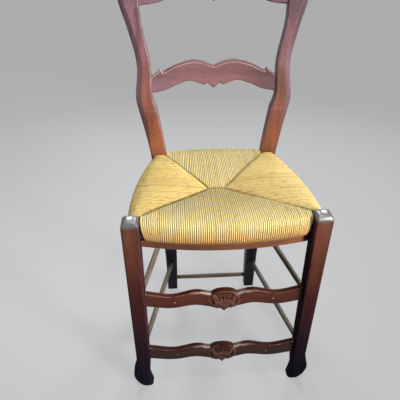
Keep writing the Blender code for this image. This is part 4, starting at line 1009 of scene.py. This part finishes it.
def addFloor():
    half = floorLook["half"]
    mesh = bpy.data.meshes.new("floor")
    mesh.from_pydata([(-half, -half, 0.0), (half, -half, 0.0), (half, half, 0.0), (-half, half, 0.0)],
                     [], [(0, 1, 2, 3)])
    material = bpy.data.materials.new("paleFloor")
    material.use_nodes = True
    tree = material.node_tree
    tree.nodes.remove(tree.nodes["Principled BSDF"])
    seen = seenDirectly(tree)
    matt = addNode(tree, "ShaderNodeBsdfDiffuse", {
        "Color": mixColours(tree, seen, floorLook["bounce"], floorLook["pale"])}).outputs[0]
    glow = addNode(tree, "ShaderNodeEmission", {"Color": floorLook["pale"], "Strength": 1.0}).outputs[0]
    share = product(tree, seen, floorLook["glow"])
    both = addNode(tree, "ShaderNodeMixShader", {0: share, 1: matt, 2: glow}).outputs[0]
    feed(tree, tree.nodes["Material Output"].inputs["Surface"], both)
    mesh.materials.append(material)
    addPiece("floor", mesh)


lamps = {
    "overhead": {"place": (0.05, -0.25, 1.90), "aim": (0.0, 0.05, 0.65), "size": 0.7, "power": 3.7,
                 "spread": 120.0, "colour": (1.0, 0.97, 0.93)},
    "front": {"place": (1.45, -1.50, 1.22), "aim": (-0.18, 0.0, 0.74), "size": 0.6, "power": 6.1,
              "spread": 42.0, "colour": (1.0, 0.97, 0.94)},
    "windowLeft": {"place": (-0.60, 1.9, 2.10), "aim": (0.0, -0.1, 0.55), "size": 0.5, "power": 9.0,
                   "spread": 120.0, "colour": (0.84, 0.92, 1.0)},
    "windowRight": {"place": (1.10, 1.9, 2.05), "aim": (0.0, -0.1, 0.55), "size": 0.5, "power": 9.0,
                    "spread": 120.0, "colour": (0.84, 0.92, 1.0)},
}
roomLook = {"fill": (0.54, 0.66, 0.92), "level": 0.045, "wall": (0.42, 0.42, 0.425)}


def addLamps():
    for name, facts in lamps.items():
        light = bpy.data.lights.new(name, "AREA")
        light.size = facts["size"]
        light.energy = facts["power"]
        light.color = facts["colour"]
        light.spread = math.radians(facts["spread"])
        item = addPiece(name, light)
        item.location = facts["place"]
        item.rotation_euler = (Vector(facts["aim"]) - item.location).to_track_quat("-Z", "Y").to_euler()


def addRoom():
    world = bpy.data.worlds.new("softRoom")
    world.use_nodes = True
    tree = world.node_tree
    room = addNode(tree, "ShaderNodeBackground", {"Color": roomLook["fill"], "Strength": roomLook["level"]})
    wall = addNode(tree, "ShaderNodeBackground", {"Color": roomLook["wall"], "Strength": 1.0})
    both = addNode(tree, "ShaderNodeMixShader", {
        0: seenDirectly(tree), 1: room.outputs[0], 2: wall.outputs[0]}).outputs[0]
    feed(tree, tree.nodes["World Output"].inputs["Surface"], both)
    bpy.context.scene.world = world


view = {"place": (-0.1023, -0.7173, 1.1248), "pitch": 0.5836, "yaw": 0.0561, "roll": -0.0016,
        "lens": 35.97, "sensor": 36.0}


def addCamera():
    lens = bpy.data.cameras.new("camera")
    lens.sensor_width = view["sensor"]
    lens.lens = view["lens"]
    camera = addPiece("camera", lens)
    x, y, z = view["place"]
    camera.matrix_world = (Matrix.Translation((x, y + yShift, z)) @ Matrix.Rotation(-view["yaw"], 4, "Z")
                           @ Matrix.Rotation(0.5 * math.pi - view["pitch"], 4, "X")
                           @ Matrix.Rotation(view["roll"], 4, "Z"))
    bpy.context.scene.camera = camera


addFloor()
addLamps()
addRoom()
addCamera()
bpy.context.scene.view_settings.view_transform = "Standard"
print("floor, lamps, room and camera placed")

print("stool dressed")
